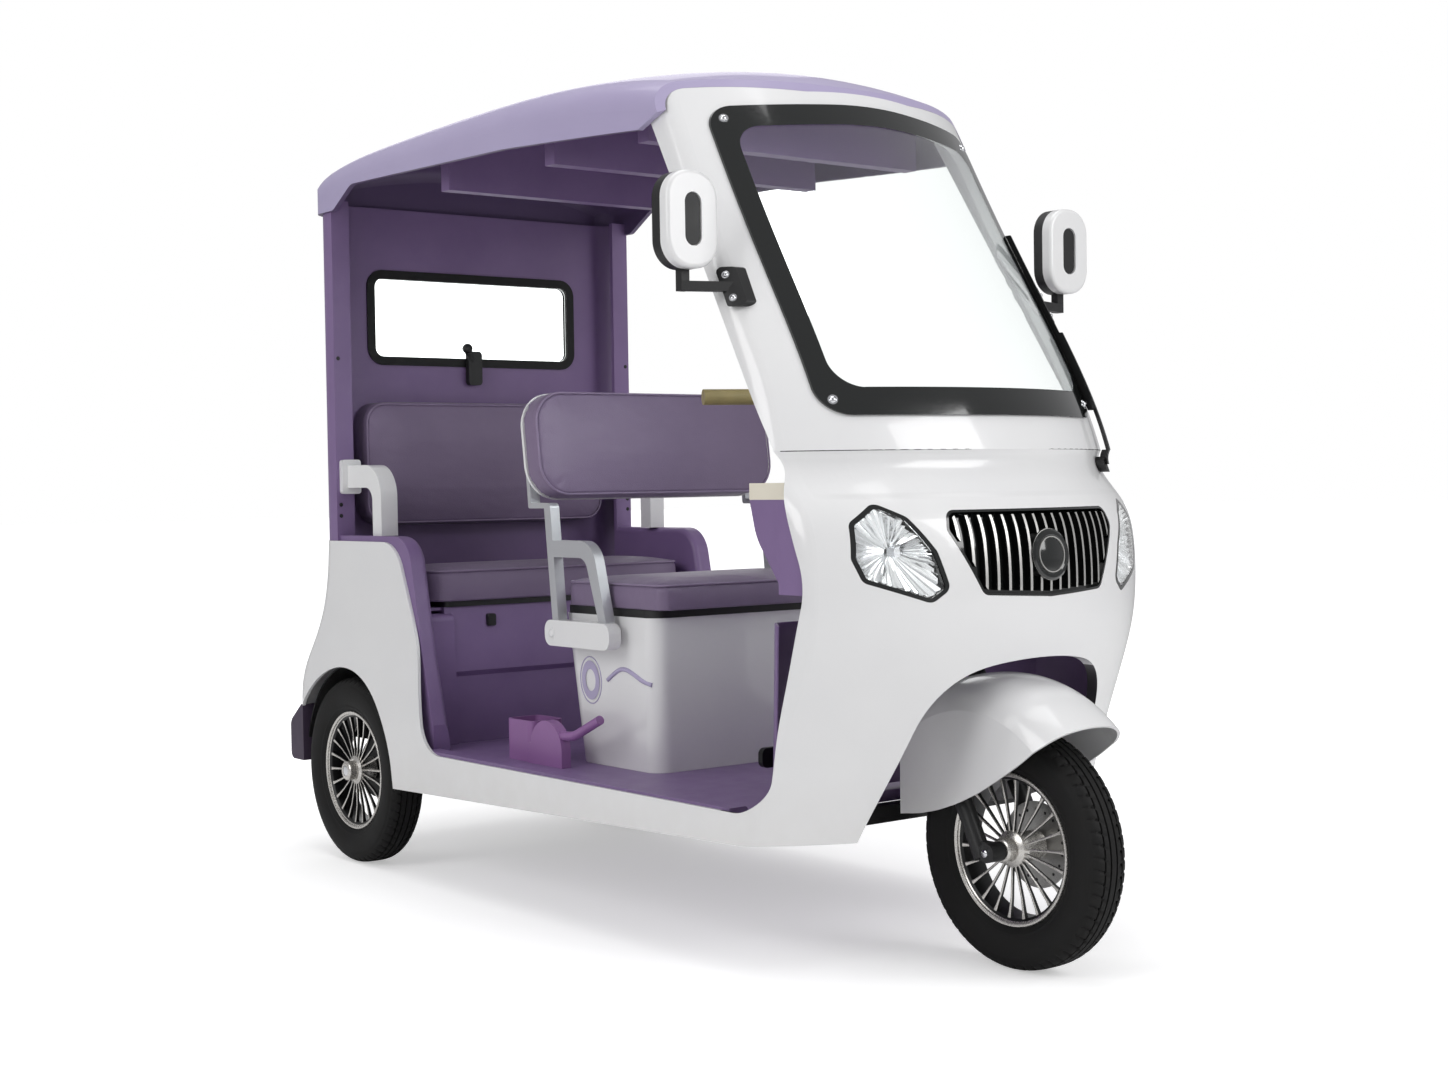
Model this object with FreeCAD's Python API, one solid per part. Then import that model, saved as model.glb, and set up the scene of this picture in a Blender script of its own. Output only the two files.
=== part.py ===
"""Electric passenger auto rickshaw: three wheels, open sides, bench seats for driver and passengers.

Row frame in millimetres: +X forward, +Y to the vehicle's left, +Z up. The origin is on the ground, at the
centre of the whole vehicle's length and width. Every node is one STEP file in parts/.
"""

import FreeCAD
import Part

import functools
import math
import os

Vec = FreeCAD.Vector

# Driving dimensions of the whole vehicle
OVERALL_LENGTH = 2590.0
WHEELBASE = 1990.0
TRACK = 892.0
TYRE_DIAMETER = 495.0
TYRE_WIDTH = 100.0
BODY_WIDTH = 970.0
SEAM_HEIGHT = 1062.0
QUARTER_HEIGHT = 862.0
EAVES_HEIGHT = 1750.0
ROOF_HEIGHT = 1973.0
FLOOR_HEIGHT = 335.0
FLOOR_THICKNESS = 24.0
PANEL_WALL = 8.0
NOSE_RADIUS = 690.0

# General clearances and cutting allowances
SEAT_GAP = 0.3
RUNNING_GAP = 8.0
OVERRUN = 40.0
FAR = 3000.0
HALF_COSINE = 0.5

# Places that follow from the driving dimensions
TYRE_RADIUS = TYRE_DIAMETER / 2
HALF_BODY = BODY_WIDTH / 2
FRONT_AXLE_X = OVERALL_LENGTH / 2 - TYRE_RADIUS
REAR_AXLE_X = FRONT_AXLE_X - WHEELBASE
HALF_TRACK = TRACK / 2
FLOOR_UNDERSIDE = FLOOR_HEIGHT - FLOOR_THICKNESS
LINER_OUTER_Y = HALF_BODY - PANEL_WALL

parts = {}


def add(node, *shapes):
    """Puts solids under a node's name."""
    parts.setdefault(node, []).extend(shapes)


def mirrored(shape):
    """The same shape on the vehicle's other side."""
    return shape.mirror(Vec(0, 0, 0), Vec(0, 1, 0))


def both(shape):
    """A shape of the right side, and its twin on the left."""
    return [shape, mirrored(shape)]


def block(x0, x1, y0, y1, z0, z1):
    """A box between three pairs of planes."""
    return Part.makeBox(x1 - x0, y1 - y0, z1 - z0, Vec(x0, y0, z0))


def rounded_block(x0, x1, y0, y1, z0, z1, radius, axis):
    """A box whose four edges along one axis are rounded."""
    solid = block(x0, x1, y0, y1, z0, z1)
    along = [e for e in solid.Edges if abs(getattr(e.tangentAt(e.FirstParameter), axis)) > HALF_COSINE]
    return solid.makeFillet(radius, along)


def rod(start, end, radius):
    """A round bar from one point to another."""
    way = end - start
    return Part.makeCylinder(radius, way.Length, start, way)


def ring(start, end, outer, inner):
    """A round tube from one point to another."""
    return rod(start, end, outer).cut(rod(start, end, inner))


def rounded_wire(points, radii):
    """A closed wire through coplanar points, each corner rounded by its own radius."""
    if not isinstance(radii, (list, tuple)):
        radii = [radii] * len(points)
    count = len(points)
    ends = []
    for i in range(count):
        here, before, after = points[i], points[i - 1], points[(i + 1) % count]
        to_before = (before - here).normalize()
        to_after = (after - here).normalize()
        if radii[i] <= 0:
            ends.append((here, None, here))
            continue
        half = to_before.getAngle(to_after) / 2
        setback = radii[i] / math.tan(half)
        bisector = (to_before + to_after).normalize()
        centre = here + bisector * (radii[i] / math.sin(half))
        middle = centre - bisector * radii[i]
        ends.append((here + to_before * setback, middle, here + to_after * setback))
    edges = []
    for i in range(count):
        first, middle, last = ends[i]
        if middle is not None:
            edges.append(Part.Arc(first, middle, last).toShape())
        following = ends[(i + 1) % count][0]
        if (following - last).Length > SEAT_GAP / 10:
            edges.append(Part.LineSegment(last, following).toShape())
    return Part.Wire(edges)


def slab(points, radii, way):
    """A closed outline pushed along a vector."""
    return Part.Face(rounded_wire(points, radii)).extrude(way)


def side_slab(outline, radii, y0, y1):
    """An outline in the side view (x, z), pushed across from y0 to y1."""
    return slab([Vec(x, y0, z) for x, z in outline], radii, Vec(0, y1 - y0, 0))


def front_slab(outline, radii, x0, x1):
    """An outline in the front view (y, z), pushed along from x0 to x1."""
    return slab([Vec(x0, y, z) for y, z in outline], radii, Vec(x1 - x0, 0, 0))


def bent_tube(points, radius, bend):
    """A round bar along straight runs, joined by arcs of one bend radius."""
    path = []
    last = points[0]
    for i in range(1, len(points) - 1):
        here = points[i]
        to_before = (points[i - 1] - here).normalize()
        to_after = (points[i + 1] - here).normalize()
        half = to_before.getAngle(to_after) / 2
        setback = bend / math.tan(half)
        bisector = (to_before + to_after).normalize()
        centre = here + bisector * (bend / math.sin(half))
        start = here + to_before * setback
        end = here + to_after * setback
        path.append(Part.LineSegment(last, start).toShape())
        path.append(Part.Arc(start, centre - bisector * bend, end).toShape())
        last = end
    path.append(Part.LineSegment(last, points[-1]).toShape())
    spine = Part.Wire(path)
    way = points[1] - points[0]
    profile = Part.Wire([Part.Circle(points[0], way, radius).toShape()])
    return spine.makePipeShell([profile], True, True)


def bow_section(nose, radius, corner, half, base, inset, place, heel=0.0):
    """A closed D section: a bowed front, round corners, straight sides and a straight back.

    All of it moves inwards by inset. place turns (along, across) into a point, heel rounds the back corners.
    """
    centre = nose - radius
    swell = radius - inset
    fillet = corner - inset
    side = half - inset
    back = base + inset
    fillet_along = centre + math.sqrt((radius - corner) ** 2 - (half - corner) ** 2)
    fillet_across = half - corner
    reach = math.hypot(fillet_along - centre, fillet_across)
    touch_along = centre + (fillet_along - centre) * swell / reach
    touch_across = fillet_across * swell / reach
    angle = math.atan2(fillet_across, fillet_along - centre) / 2 + math.pi / 4
    mid_along = fillet_along + fillet * math.cos(angle)
    mid_across = fillet_across + fillet * math.sin(angle)
    turn = max(heel - inset, SEAT_GAP) if heel else 0.0
    slack = turn * (1 - math.sqrt(HALF_COSINE))
    right = [place(back + turn, -side), place(fillet_along, -side), place(mid_along, -mid_across)]
    right.append(place(touch_along, -touch_across))
    left = [place(touch_along, touch_across), place(mid_along, mid_across)]
    left += [place(fillet_along, side), place(back + turn, side)]
    tip = place(centre + swell, 0)
    edges = [
        Part.LineSegment(right[0], right[1]).toShape(),
        Part.Arc(right[1], right[2], right[3]).toShape(),
        Part.Arc(right[3], tip, left[0]).toShape(),
        Part.Arc(left[0], left[1], left[2]).toShape(),
        Part.LineSegment(left[2], left[3]).toShape(),
    ]
    if turn:
        heels = [place(back, side - turn), place(back, turn - side)]
        edges.append(Part.Arc(left[3], place(back + slack, side - slack), heels[0]).toShape())
        edges.append(Part.LineSegment(heels[0], heels[1]).toShape())
        edges.append(Part.Arc(heels[1], place(back + slack, slack - side), right[0]).toShape())
    else:
        edges.append(Part.LineSegment(left[3], right[0]).toShape())
    return Part.Wire(edges)


# The lower body: a bowed nose, flared sides and a tail that runs out over the rear wheels.
# Shares: height of the seam, nose reach ahead of the front axle, flare of the sides, tail reach.
NOSE_REACH = 90.0
SIDE_FLARE = 24.0
TAIL_REACH = 290.0
BODY_CORNER = 70.0
BODY_HEEL = 62.0
LOWER_SHARES = (
    (0.205, -1.00, 0.70, 1.00),
    (0.282, -0.51, 0.95, 1.00),
    (0.377, -0.22, 1.00, 1.00),
    (0.471, 0.17, 0.65, 0.99),
    (0.565, 0.58, 0.15, 0.81),
    (0.659, 0.91, 0.00, 0.64),
    (0.735, 1.00, 0.00, 0.57),
    (0.812, 0.96, 0.00, 0.54),
    (0.895, 0.60, 0.00, 0.53),
    (1.000, -0.09, 0.00, 0.53),
)

# The upper body: the nose leans back to the brow of the roof.
# Shares: height of the upper body, lean backwards, narrowing of the sides.
UPPER_HEIGHT = 938.0
UPPER_LEAN = 545.0
UPPER_NARROWING = 50.0
FRAME_WALL = 26.0
UPPER_SHARES = (
    (0.000, 0.000, 0.00),
    (0.115, 0.083, 0.14),
    (0.414, 0.391, 0.46),
    (0.744, 0.730, 0.80),
    (1.000, 1.000, 1.00),
)


def plan_wire(height, nose, half, tail, inset, heel=0.0):
    """A D section of the body at one height."""
    return bow_section(
        nose, NOSE_RADIUS, BODY_CORNER, half, tail, inset, lambda along, across: Vec(along, across, height), heel
    )


@functools.lru_cache(maxsize=None)
def lower_body(inset):
    """The solid inside the lower body's skin, moved in by inset."""
    wires = []
    for height, nose, flare, tail in LOWER_SHARES:
        wires.append(
            plan_wire(
                height * SEAM_HEIGHT,
                FRONT_AXLE_X + nose * NOSE_REACH,
                HALF_BODY + flare * SIDE_FLARE,
                REAR_AXLE_X - tail * TAIL_REACH,
                inset,
                BODY_HEEL,
            )
        )
    return Part.makeLoft(wires, True, False)


SEAM_NOSE_X = FRONT_AXLE_X + LOWER_SHARES[-1][1] * NOSE_REACH
UPPER_DEPTH = 900.0


@functools.lru_cache(maxsize=None)
def upper_body(inset, widening=0.0):
    """The solid inside the upper body's skin, moved in by inset. Widening pushes only its sides out."""
    wires = []
    for height, lean, narrowing in UPPER_SHARES:
        nose = SEAM_NOSE_X - lean * UPPER_LEAN
        wires.append(
            plan_wire(
                SEAM_HEIGHT + height * UPPER_HEIGHT,
                nose,
                HALF_BODY + widening - narrowing * UPPER_NARROWING,
                nose - UPPER_DEPTH,
                inset,
            )
        )
    return Part.makeLoft(wires, True, False)


# The doorway's outline in the side view, from the top rear corner round to the windscreen pillar.
# x is measured from the rear axle in shares of the wheelbase, z in shares of the seam's height.
DOORWAY_SHARES = (
    (-0.300, 0.812),
    (0.131, 0.812),
    (0.187, 0.565),
    (0.217, 0.316),
    (0.883, 0.319),
    (0.947, 0.753),
    (0.900, 1.000),
    (0.6075, 1.890),
    (-0.300, 1.890),
)
DOORWAY_RADII_SHARES = (0, 0.10, 0.30, 0.085, 0.09, 0.16, 0.50, 0, 0)
SILL_REAR_DROP = 115.0
SILL_FRONT_DROP = 53.0
WHEEL_CUT_RADIUS = 276.0
WHEEL_CUT_BACK = 18.0


def doorway_points(offset):
    """The doorway's outline with its free edges moved outwards by offset."""
    points = [
        (REAR_AXLE_X + x * WHEELBASE, z * SEAM_HEIGHT) for x, z in DOORWAY_SHARES
    ]
    return [
        (points[0][0], points[0][1] - offset),
        (points[1][0] - offset, points[1][1] - offset),
        (points[2][0] - offset, points[2][1]),
        (points[3][0] - offset, points[3][1] - offset),
        (points[4][0] + offset, points[4][1] - offset),
        (points[5][0] + offset, points[5][1]),
        (points[6][0] + offset, points[6][1]),
        (points[7][0] + offset, points[7][1]),
        points[8],
    ]


def doorway(offset):
    """The solid that is cut out for both doorways at once."""
    radii = [share * SEAM_HEIGHT for share in DOORWAY_RADII_SHARES]
    return side_slab(doorway_points(offset), radii, -HALF_BODY - OVERRUN, HALF_BODY + OVERRUN)


def underside():
    """What lies below the sills: the body ends on this sloping line."""
    rear_z = FLOOR_HEIGHT - SILL_REAR_DROP
    front_z = FLOOR_HEIGHT - SILL_FRONT_DROP
    outline = [
        (-FAR, 0),
        (FAR, 0),
        (FRONT_AXLE_X, front_z),
        (REAR_AXLE_X, rear_z),
        (-FAR, rear_z),
    ]
    return side_slab(outline, 0, -FAR, FAR)


# The front wheel arch in the front view: shares of its half width at the foot and of its height.
ARCH_HALF = 340.0
ARCH_HEIGHT = 642.0
ARCH_FLANGE = 26.0
ARCH_SHARES = (
    (1.060, 0.260),
    (0.994, 0.390),
    (0.924, 0.506),
    (0.853, 0.623),
    (0.797, 0.732),
    (0.756, 0.818),
    (0.688, 0.888),
    (0.548, 0.953),
    (0.300, 0.990),
    (0.000, 1.000),
)


def front_arch(offset):
    """The wheel arch's cut through the nose, as a smooth opening."""
    side = [(half * ARCH_HALF + offset, height * ARCH_HEIGHT + offset) for half, height in ARCH_SHARES]
    side[-1] = (0, side[-1][1])
    x0 = FRONT_AXLE_X - TYRE_RADIUS
    right = [Vec(x0, -y, z) for y, z in side]
    left = [Vec(x0, y, z) for y, z in reversed(side[:-1])]
    curve = Part.BSplineCurve()
    curve.interpolate(right + left)
    edges = [curve.toShape(), Part.LineSegment(left[-1], Vec(x0, left[-1].y, 0)).toShape()]
    edges.append(Part.LineSegment(Vec(x0, left[-1].y, 0), Vec(x0, right[0].y, 0)).toShape())
    edges.append(Part.LineSegment(Vec(x0, right[0].y, 0), right[0]).toShape())
    return Part.Face(Part.Wire(edges)).extrude(Vec(TYRE_DIAMETER * 2, 0, 0))


# Lamp and grille outlines in the front view, as shares of the seam's height
LAMP_SHARES = (
    (-0.388, 0.800),
    (-0.384, 0.866),
    (-0.334, 0.903),
    (-0.288, 0.876),
    (-0.246, 0.812),
    (-0.224, 0.742),
    (-0.258, 0.716),
    (-0.372, 0.757),
)
LAMP_ROUNDING = 20.0
GRILLE_SHARES = (
    (-0.214, 0.887),
    (0.214, 0.887),
    (0.224, 0.850),
    (0.158, 0.728),
    (0.000, 0.720),
    (-0.158, 0.728),
    (-0.224, 0.850),
)
GRILLE_ROUNDING = 22.0
LAMP_BEZEL = 9.0
GRILLE_DEPTH = 26.0
FIT_GAP = 0.4


def front_outline(shares):
    """Named shares of the seam's height, as front view points."""
    return [(y * SEAM_HEIGHT, z * SEAM_HEIGHT) for y, z in shares]


def inset_points(points, amount):
    """An outline with every corner moved in along its bisector, so each edge moves in by amount."""
    count = len(points)
    area = sum(
        points[i][0] * points[(i + 1) % count][1] - points[(i + 1) % count][0] * points[i][1]
        for i in range(count)
    )
    turn = 1 if area > 0 else -1
    moved = []
    for i in range(count):
        (bx, bz), (hx, hz), (ax, az) = points[i - 1], points[i], points[(i + 1) % count]
        in_len, out_len = math.hypot(hx - bx, hz - bz), math.hypot(ax - hx, az - hz)
        ux, uz = (hx - bx) / in_len, (hz - bz) / in_len
        wx, wz = (ax - hx) / out_len, (az - hz) / out_len
        nx, nz = -turn * (uz + wz), turn * (ux + wx)
        scale = amount / (1 + ux * wx + uz * wz)
        moved.append((hx + nx * scale, hz + nz * scale))
    return moved


def front_cut(shares, rounding, amount, x0, x1):
    """A prism through the nose on an outline that is moved in by amount."""
    points = inset_points(front_outline(shares), amount)
    return front_slab(points, max(rounding - amount, FIT_GAP), x0, x1)


NOSE_BACK_X = FRONT_AXLE_X - 330.0
NOSE_FRONT_X = FRONT_AXLE_X + 200.0
SPLIT_X = REAR_AXLE_X + 1640.0
REAR_SPLIT_Y = 395.0
TAIL_FOOT = 404.0


def lower_panels():
    """The white lower shells: two flanks with sill and wheel arch, the nose and the tail panel."""
    outer = lower_body(0)
    skin = outer.cut(lower_body(PANEL_WALL))
    skin = skin.cut(doorway(0)).cut(underside())
    wheel = rod(
        Vec(REAR_AXLE_X - WHEEL_CUT_BACK, -HALF_BODY - OVERRUN * 2, TYRE_RADIUS),
        Vec(REAR_AXLE_X - WHEEL_CUT_BACK, HALF_BODY + OVERRUN * 2, TYRE_RADIUS),
        WHEEL_CUT_RADIUS,
    )
    skin = skin.cut(wheel)
    top = QUARTER_HEIGHT
    rear = skin.common(block(-FAR, SPLIT_X, -FAR, FAR, 0, top))
    nose = skin.common(block(SPLIT_X, FAR, -FAR, FAR, 0, SEAM_HEIGHT))
    flank = rear.common(block(-FAR, FAR, -FAR, -REAR_SPLIT_Y, 0, FAR))
    tail = rear.common(block(-FAR, REAR_AXLE_X, -REAR_SPLIT_Y, REAR_SPLIT_Y, 0, FAR))
    behind = block(-FAR, REAR_AXLE_X, -FAR, FAR, 0, TAIL_FOOT)
    tail = tail.cut(behind)
    flank = flank.cut(behind)
    flange = outer.cut(lower_body(ARCH_FLANGE)).common(front_arch(PANEL_WALL))
    flange = flange.common(block(SPLIT_X, FAR, -FAR, FAR, 0, SEAM_HEIGHT)).cut(underside())
    nose = nose.fuse(flange).cut(front_arch(0))
    for cut in (LAMP_SHARES, GRILLE_SHARES):
        rounding = LAMP_ROUNDING if cut is LAMP_SHARES else GRILLE_ROUNDING
        tool = front_cut(cut, rounding, 0, NOSE_BACK_X, NOSE_FRONT_X)
        nose = nose.cut(tool)
        if cut is LAMP_SHARES:
            nose = nose.cut(mirrored(tool))
    add("side_panel_right", *flank.Solids)
    add("side_panel_left", *mirrored(flank).Solids)
    add("front_fascia", *largest(nose.removeSplitter()))
    add("rear_panel", *largest(tail))


def largest(shape):
    """The biggest solid of a cut shape, in a list."""
    return [max(shape.Solids, key=lambda s: s.Volume)]


def nose_lamps():
    """Headlamps: a bezel with a bowl behind it, and a clear lens; and the grille with its bars."""
    outer = lower_body(0)
    bezel_body = front_cut(LAMP_SHARES, LAMP_ROUNDING, FIT_GAP, NOSE_BACK_X, NOSE_FRONT_X)
    lens_body = front_cut(LAMP_SHARES, LAMP_ROUNDING, LAMP_BEZEL, NOSE_BACK_X, NOSE_FRONT_X)
    back = lower_body(BOWL_DEPTH)
    housing = outer.common(bezel_body).cut(back)
    bowl_cut = front_cut(LAMP_SHARES, LAMP_ROUNDING, LAMP_BEZEL - FIT_GAP, NOSE_BACK_X, NOSE_FRONT_X)
    floor = lower_body(BOWL_DEPTH - PANEL_WALL)
    housing = housing.cut(bowl_cut.cut(floor))
    lens = outer.cut(lower_body(LENS_WALL)).common(lens_body)
    housings = largest(housing)[0]
    lenses = largest(lens)[0]
    add("headlamp_housings", *both(housings))
    add("headlamp_lenses", *both(lenses))
    plate_body = front_cut(GRILLE_SHARES, GRILLE_ROUNDING, FIT_GAP, NOSE_BACK_X, NOSE_FRONT_X)
    pocket = front_cut(GRILLE_SHARES, GRILLE_ROUNDING, GRILLE_RIM, NOSE_BACK_X, NOSE_FRONT_X)
    plate = outer.common(plate_body).cut(lower_body(GRILLE_DEPTH))
    plate = plate.cut(pocket.cut(lower_body(GRILLE_POCKET)))
    add("grille", *largest(plate))
    bars = []
    shell = outer.cut(lower_body(GRILLE_POCKET - SEAT_GAP)).common(
        front_cut(GRILLE_SHARES, GRILLE_ROUNDING, GRILLE_RIM + BAR_WIDTH, NOSE_BACK_X, NOSE_FRONT_X)
    )
    badge_hole = rod(Vec(NOSE_BACK_X, 0, BADGE_HEIGHT), Vec(NOSE_FRONT_X, 0, BADGE_HEIGHT), BADGE_RADIUS + FIT_GAP)
    shell = shell.cut(badge_hole)
    for i in range(BAR_COUNT):
        y = (i - (BAR_COUNT - 1) / 2) * BAR_PITCH
        strip = block(NOSE_BACK_X, NOSE_FRONT_X, y - BAR_WIDTH / 2, y + BAR_WIDTH / 2, 0, SEAM_HEIGHT)
        bars.extend(shell.common(strip).Solids)
    badge_body = rod(Vec(NOSE_BACK_X, 0, BADGE_HEIGHT), Vec(NOSE_FRONT_X, 0, BADGE_HEIGHT), BADGE_RADIUS)
    badge = lower_body(-BADGE_PROUD).cut(lower_body(GRILLE_POCKET - SEAT_GAP)).common(badge_body)
    add("grille_bars", *bars)
    add("grille_bars", *largest(badge))


LENS_WALL = 3.5
BOWL_DEPTH = 62.0
GRILLE_RIM = 5.0
GRILLE_POCKET = 16.0
BAR_COUNT = 17
BAR_PITCH = 27.0
BAR_WIDTH = 6.0
BADGE_HEIGHT = 849.0
BADGE_RADIUS = 52.0
BADGE_PROUD = 3.0

# Windscreen and its frame
JOINT_SIDE_X = 1335.0
JOINT_SIDE_HEIGHT = 1762.0
JOINT_RISE = 0.45
SCREEN_BOTTOM = 1132.0
SCREEN_TOP = 1824.0
SCREEN_HALF_BOTTOM = 394.0
SCREEN_HALF_TOP = 380.0
SCREEN_CORNER = 55.0
SCREEN_STAND = 1.0
SCREEN_THICKNESS = 5.0
SCREEN_LAP = 34.0
BORDER_SIDE = 40.0
BORDER_TOP = 46.0
BORDER_BOTTOM = 56.0
SCREEN_TOP_RISE = 26.0


def screen_outline(side, top, bottom):
    """The windscreen's outline in the front view, moved in by three amounts."""
    return [
        (-SCREEN_HALF_BOTTOM + side, SCREEN_BOTTOM + bottom),
        (SCREEN_HALF_BOTTOM - side, SCREEN_BOTTOM + bottom),
        (SCREEN_HALF_TOP - side, SCREEN_TOP - SCREEN_TOP_RISE - top),
        (0, SCREEN_TOP - top),
        (-SCREEN_HALF_TOP + side, SCREEN_TOP - SCREEN_TOP_RISE - top),
    ]


def screen_prism(side, top, bottom, corner):
    """The windscreen's outline pushed through the upper nose."""
    flat = SCREEN_HALF_TOP * 4
    radii = [corner, corner, corner, flat, corner]
    return front_slab(screen_outline(side, top, bottom), radii, NOSE_BACK_X - UPPER_LEAN, NOSE_FRONT_X)


def above_joint():
    """Everything above the sloping joint plane between the white frame and the roof."""
    x0, z0 = REAR_AXLE_X + JOINT_SIDE_X, JOINT_SIDE_HEIGHT
    outline = [
        (x0 - FAR, z0 - FAR * JOINT_RISE),
        (x0 + FAR, z0 + FAR * JOINT_RISE),
        (x0 + FAR, FAR * 2),
        (x0 - FAR, FAR * 2),
    ]
    return side_slab(outline, 0, -FAR, FAR)


def windscreen():
    """The white pillars and brow, the glass and its black border."""
    frame = upper_body(0).cut(upper_body(FRAME_WALL)).cut(doorway(0))
    frame = frame.cut(above_joint().cut(roof_solid(ROOF_WALL + SEAT_GAP)))
    frame = frame.cut(block(-FAR, FAR, -FAR, FAR, EAVES_HEIGHT, FAR).cut(roof_solid(0)))
    frame = frame.cut(screen_prism(SCREEN_LAP, SCREEN_LAP, SCREEN_LAP, SCREEN_CORNER))
    frame = frame.common(block(SPLIT_X - UPPER_LEAN, FAR, -FAR, FAR, SEAM_HEIGHT, FAR))
    add("windshield_frame", *largest(frame))
    sheet = upper_body(-SCREEN_STAND - SCREEN_THICKNESS).cut(upper_body(-SCREEN_STAND))
    sheet = sheet.common(screen_prism(0, 0, 0, SCREEN_CORNER))
    centre_cut = screen_prism(BORDER_SIDE, BORDER_TOP, BORDER_BOTTOM, SCREEN_CORNER)
    add("windshield_glass", *largest(sheet.common(centre_cut)))
    add("windshield_border", *largest(sheet.cut(centre_cut)))


# The roof: a crowned shell in sections along the vehicle.
# Shares: place between the tail and the brow, crown height lost, narrowing.
ROOF_HALF = 492.0
ROOF_CROWN_RADIUS = 1600.0
ROOF_CORNER = 75.0
ROOF_HEEL = 62.0
ROOF_TAIL = 166.0
ROOF_LENGTH = 1786.0
ROOF_DROP = 100.0
ROOF_WALL = 14.0
ROOF_NARROWING = 50.0
ROOF_SHARES = (
    (0.000, 0.92, 0.00),
    (0.014, 0.64, 0.00),
    (0.045, 0.46, 0.00),
    (0.095, 0.34, 0.00),
    (0.201, 0.22, 0.00),
    (0.464, 0.09, 0.08),
    (0.717, 0.20, 0.28),
    (0.820, 0.42, 0.52),
    (0.888, 0.68, 0.74),
    (0.951, 1.14, 0.90),
    (1.000, 1.75, 1.00),
)
ROOF_BASE_DROP = 400.0


@functools.lru_cache(maxsize=None)
def roof_solid(inset):
    """The solid under the roof's surface, moved in by inset."""
    wires = []
    for place, drop, narrowing in ROOF_SHARES:
        x = REAR_AXLE_X - ROOF_TAIL + place * ROOF_LENGTH
        if place == 0:
            x += inset
        crown = ROOF_HEIGHT - drop * ROOF_DROP
        half = ROOF_HALF - narrowing * ROOF_NARROWING
        wires.append(
            bow_section(
                crown,
                ROOF_CROWN_RADIUS,
                ROOF_CORNER,
                half,
                ROOF_HEIGHT - ROOF_BASE_DROP,
                inset,
                lambda along, across, x=x: Vec(x, across, along),
            )
        )
    body = Part.makeLoft(wires, True, False)
    tail_x = REAR_AXLE_X - ROOF_TAIL + inset
    low = ROOF_HEIGHT - ROOF_BASE_DROP - OVERRUN
    side = ROOF_HALF - inset
    front = tail_x + ROOF_LENGTH + OVERRUN
    plan = rounded_wire(
        [Vec(tail_x, -side, low), Vec(front, -side, low), Vec(front, side, low), Vec(tail_x, side, low)],
        [max(ROOF_HEEL - inset, SEAT_GAP), 0, 0, max(ROOF_HEEL - inset, SEAT_GAP)],
    )
    return body.common(Part.Face(plan).extrude(Vec(0, 0, FAR)))


# The lower edge of the roof in the side view, in shares of its length and of the skirt's rise
SKIRT_RISE = 62.0
SKIRT_SHARES = (
    (0.000, -0.08),
    (0.075, -0.08),
    (0.133, 0.84),
    (0.552, 0.62),
    (0.864, 0.12),
    (0.903, -0.40),
    (1.200, -0.40),
)


def roof():
    """The lilac roof shell, and the dark rails that carry it."""
    shell = roof_solid(0).cut(roof_solid(ROOF_WALL))
    x0 = REAR_AXLE_X - ROOF_TAIL
    edge = [(x0 + p * ROOF_LENGTH, EAVES_HEIGHT + r * SKIRT_RISE) for p, r in SKIRT_SHARES]
    edge[0] = (x0 - OVERRUN, edge[0][1])
    below = edge + [(edge[-1][0], 0), (edge[0][0], 0)]
    radii = [0, SKIRT_RISE / 2, SKIRT_RISE, FAR / 10, SKIRT_RISE, 0, 0, 0, 0]
    shell = shell.cut(side_slab(below, radii, -FAR, FAR))
    shell = shell.common(upper_envelope()).common(above_joint())
    add("roof", *largest(shell))
    rails = []
    inner = roof_solid(ROOF_WALL + SEAT_GAP).cut(roof_solid(ROOF_WALL + RAIL_DEPTH))
    inner = inner.common(above_joint())
    for share in RAIL_SHARES:
        x = x0 + share * ROOF_LENGTH
        slice_ = block(x - RAIL_WIDTH / 2, x + RAIL_WIDTH / 2, -RAIL_HALF, RAIL_HALF, EAVES_HEIGHT, FAR)
        rails.extend(inner.common(slice_).Solids)
    add("roof_rails", *rails)


RAIL_SHARES = (0.32, 0.59, 0.80)
RAIL_WIDTH = 40.0
RAIL_DEPTH = 22.0
RAIL_HALF = 400.0


def upper_envelope():
    """The nose's own outline, carried far to the rear and sides, so the roof ends at the brow."""
    behind = block(-FAR, SEAM_NOSE_X - UPPER_LEAN - HALF_BODY / 2, -FAR, FAR, 0, FAR)
    return upper_body(0, HALF_BODY / 4).fuse(behind)


# Rear cabin wall: a U in plan, with a window
WALL_THICKNESS = 14.0
WALL_TAIL = 152.0
WALL_RETURN = -58.0
WALL_CORNER = 60.0
FLANGE_WIDTH = 52.0
WALL_BASE = 540.0
WALL_HALF = 484.0
WALL_TUCK = 26.0
WINDOW_HALF = 331.0
WINDOW_BOTTOM = 1354.0
WINDOW_TOP = 1597.0
WINDOW_CORNER = 38.0
SEAL_LIP = 10.0
SEAL_PROUD = 5.0
SEAL_INNER = 14.0
WINDOW_GLASS = 4.0


def wall_plan(inset, front):
    """The plan outline of the rear wall, moved in by inset and closed at front."""
    back = REAR_AXLE_X - WALL_TAIL + inset
    side = WALL_HALF - inset
    return rounded_wire(
        [
            Vec(back, -side, WALL_BASE),
            Vec(front, -side, WALL_BASE),
            Vec(front, side, WALL_BASE),
            Vec(back, side, WALL_BASE),
        ],
        [WALL_CORNER - inset, 0, 0, WALL_CORNER - inset],
    )


def window_prism(grow, x0, x1):
    """The rear window's outline pushed between two planes."""
    return rounded_block(
        x0, x1, -WINDOW_HALF - grow, WINDOW_HALF + grow, WINDOW_BOTTOM - grow, WINDOW_TOP + grow,
        WINDOW_CORNER + grow, "x",
    )


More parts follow.
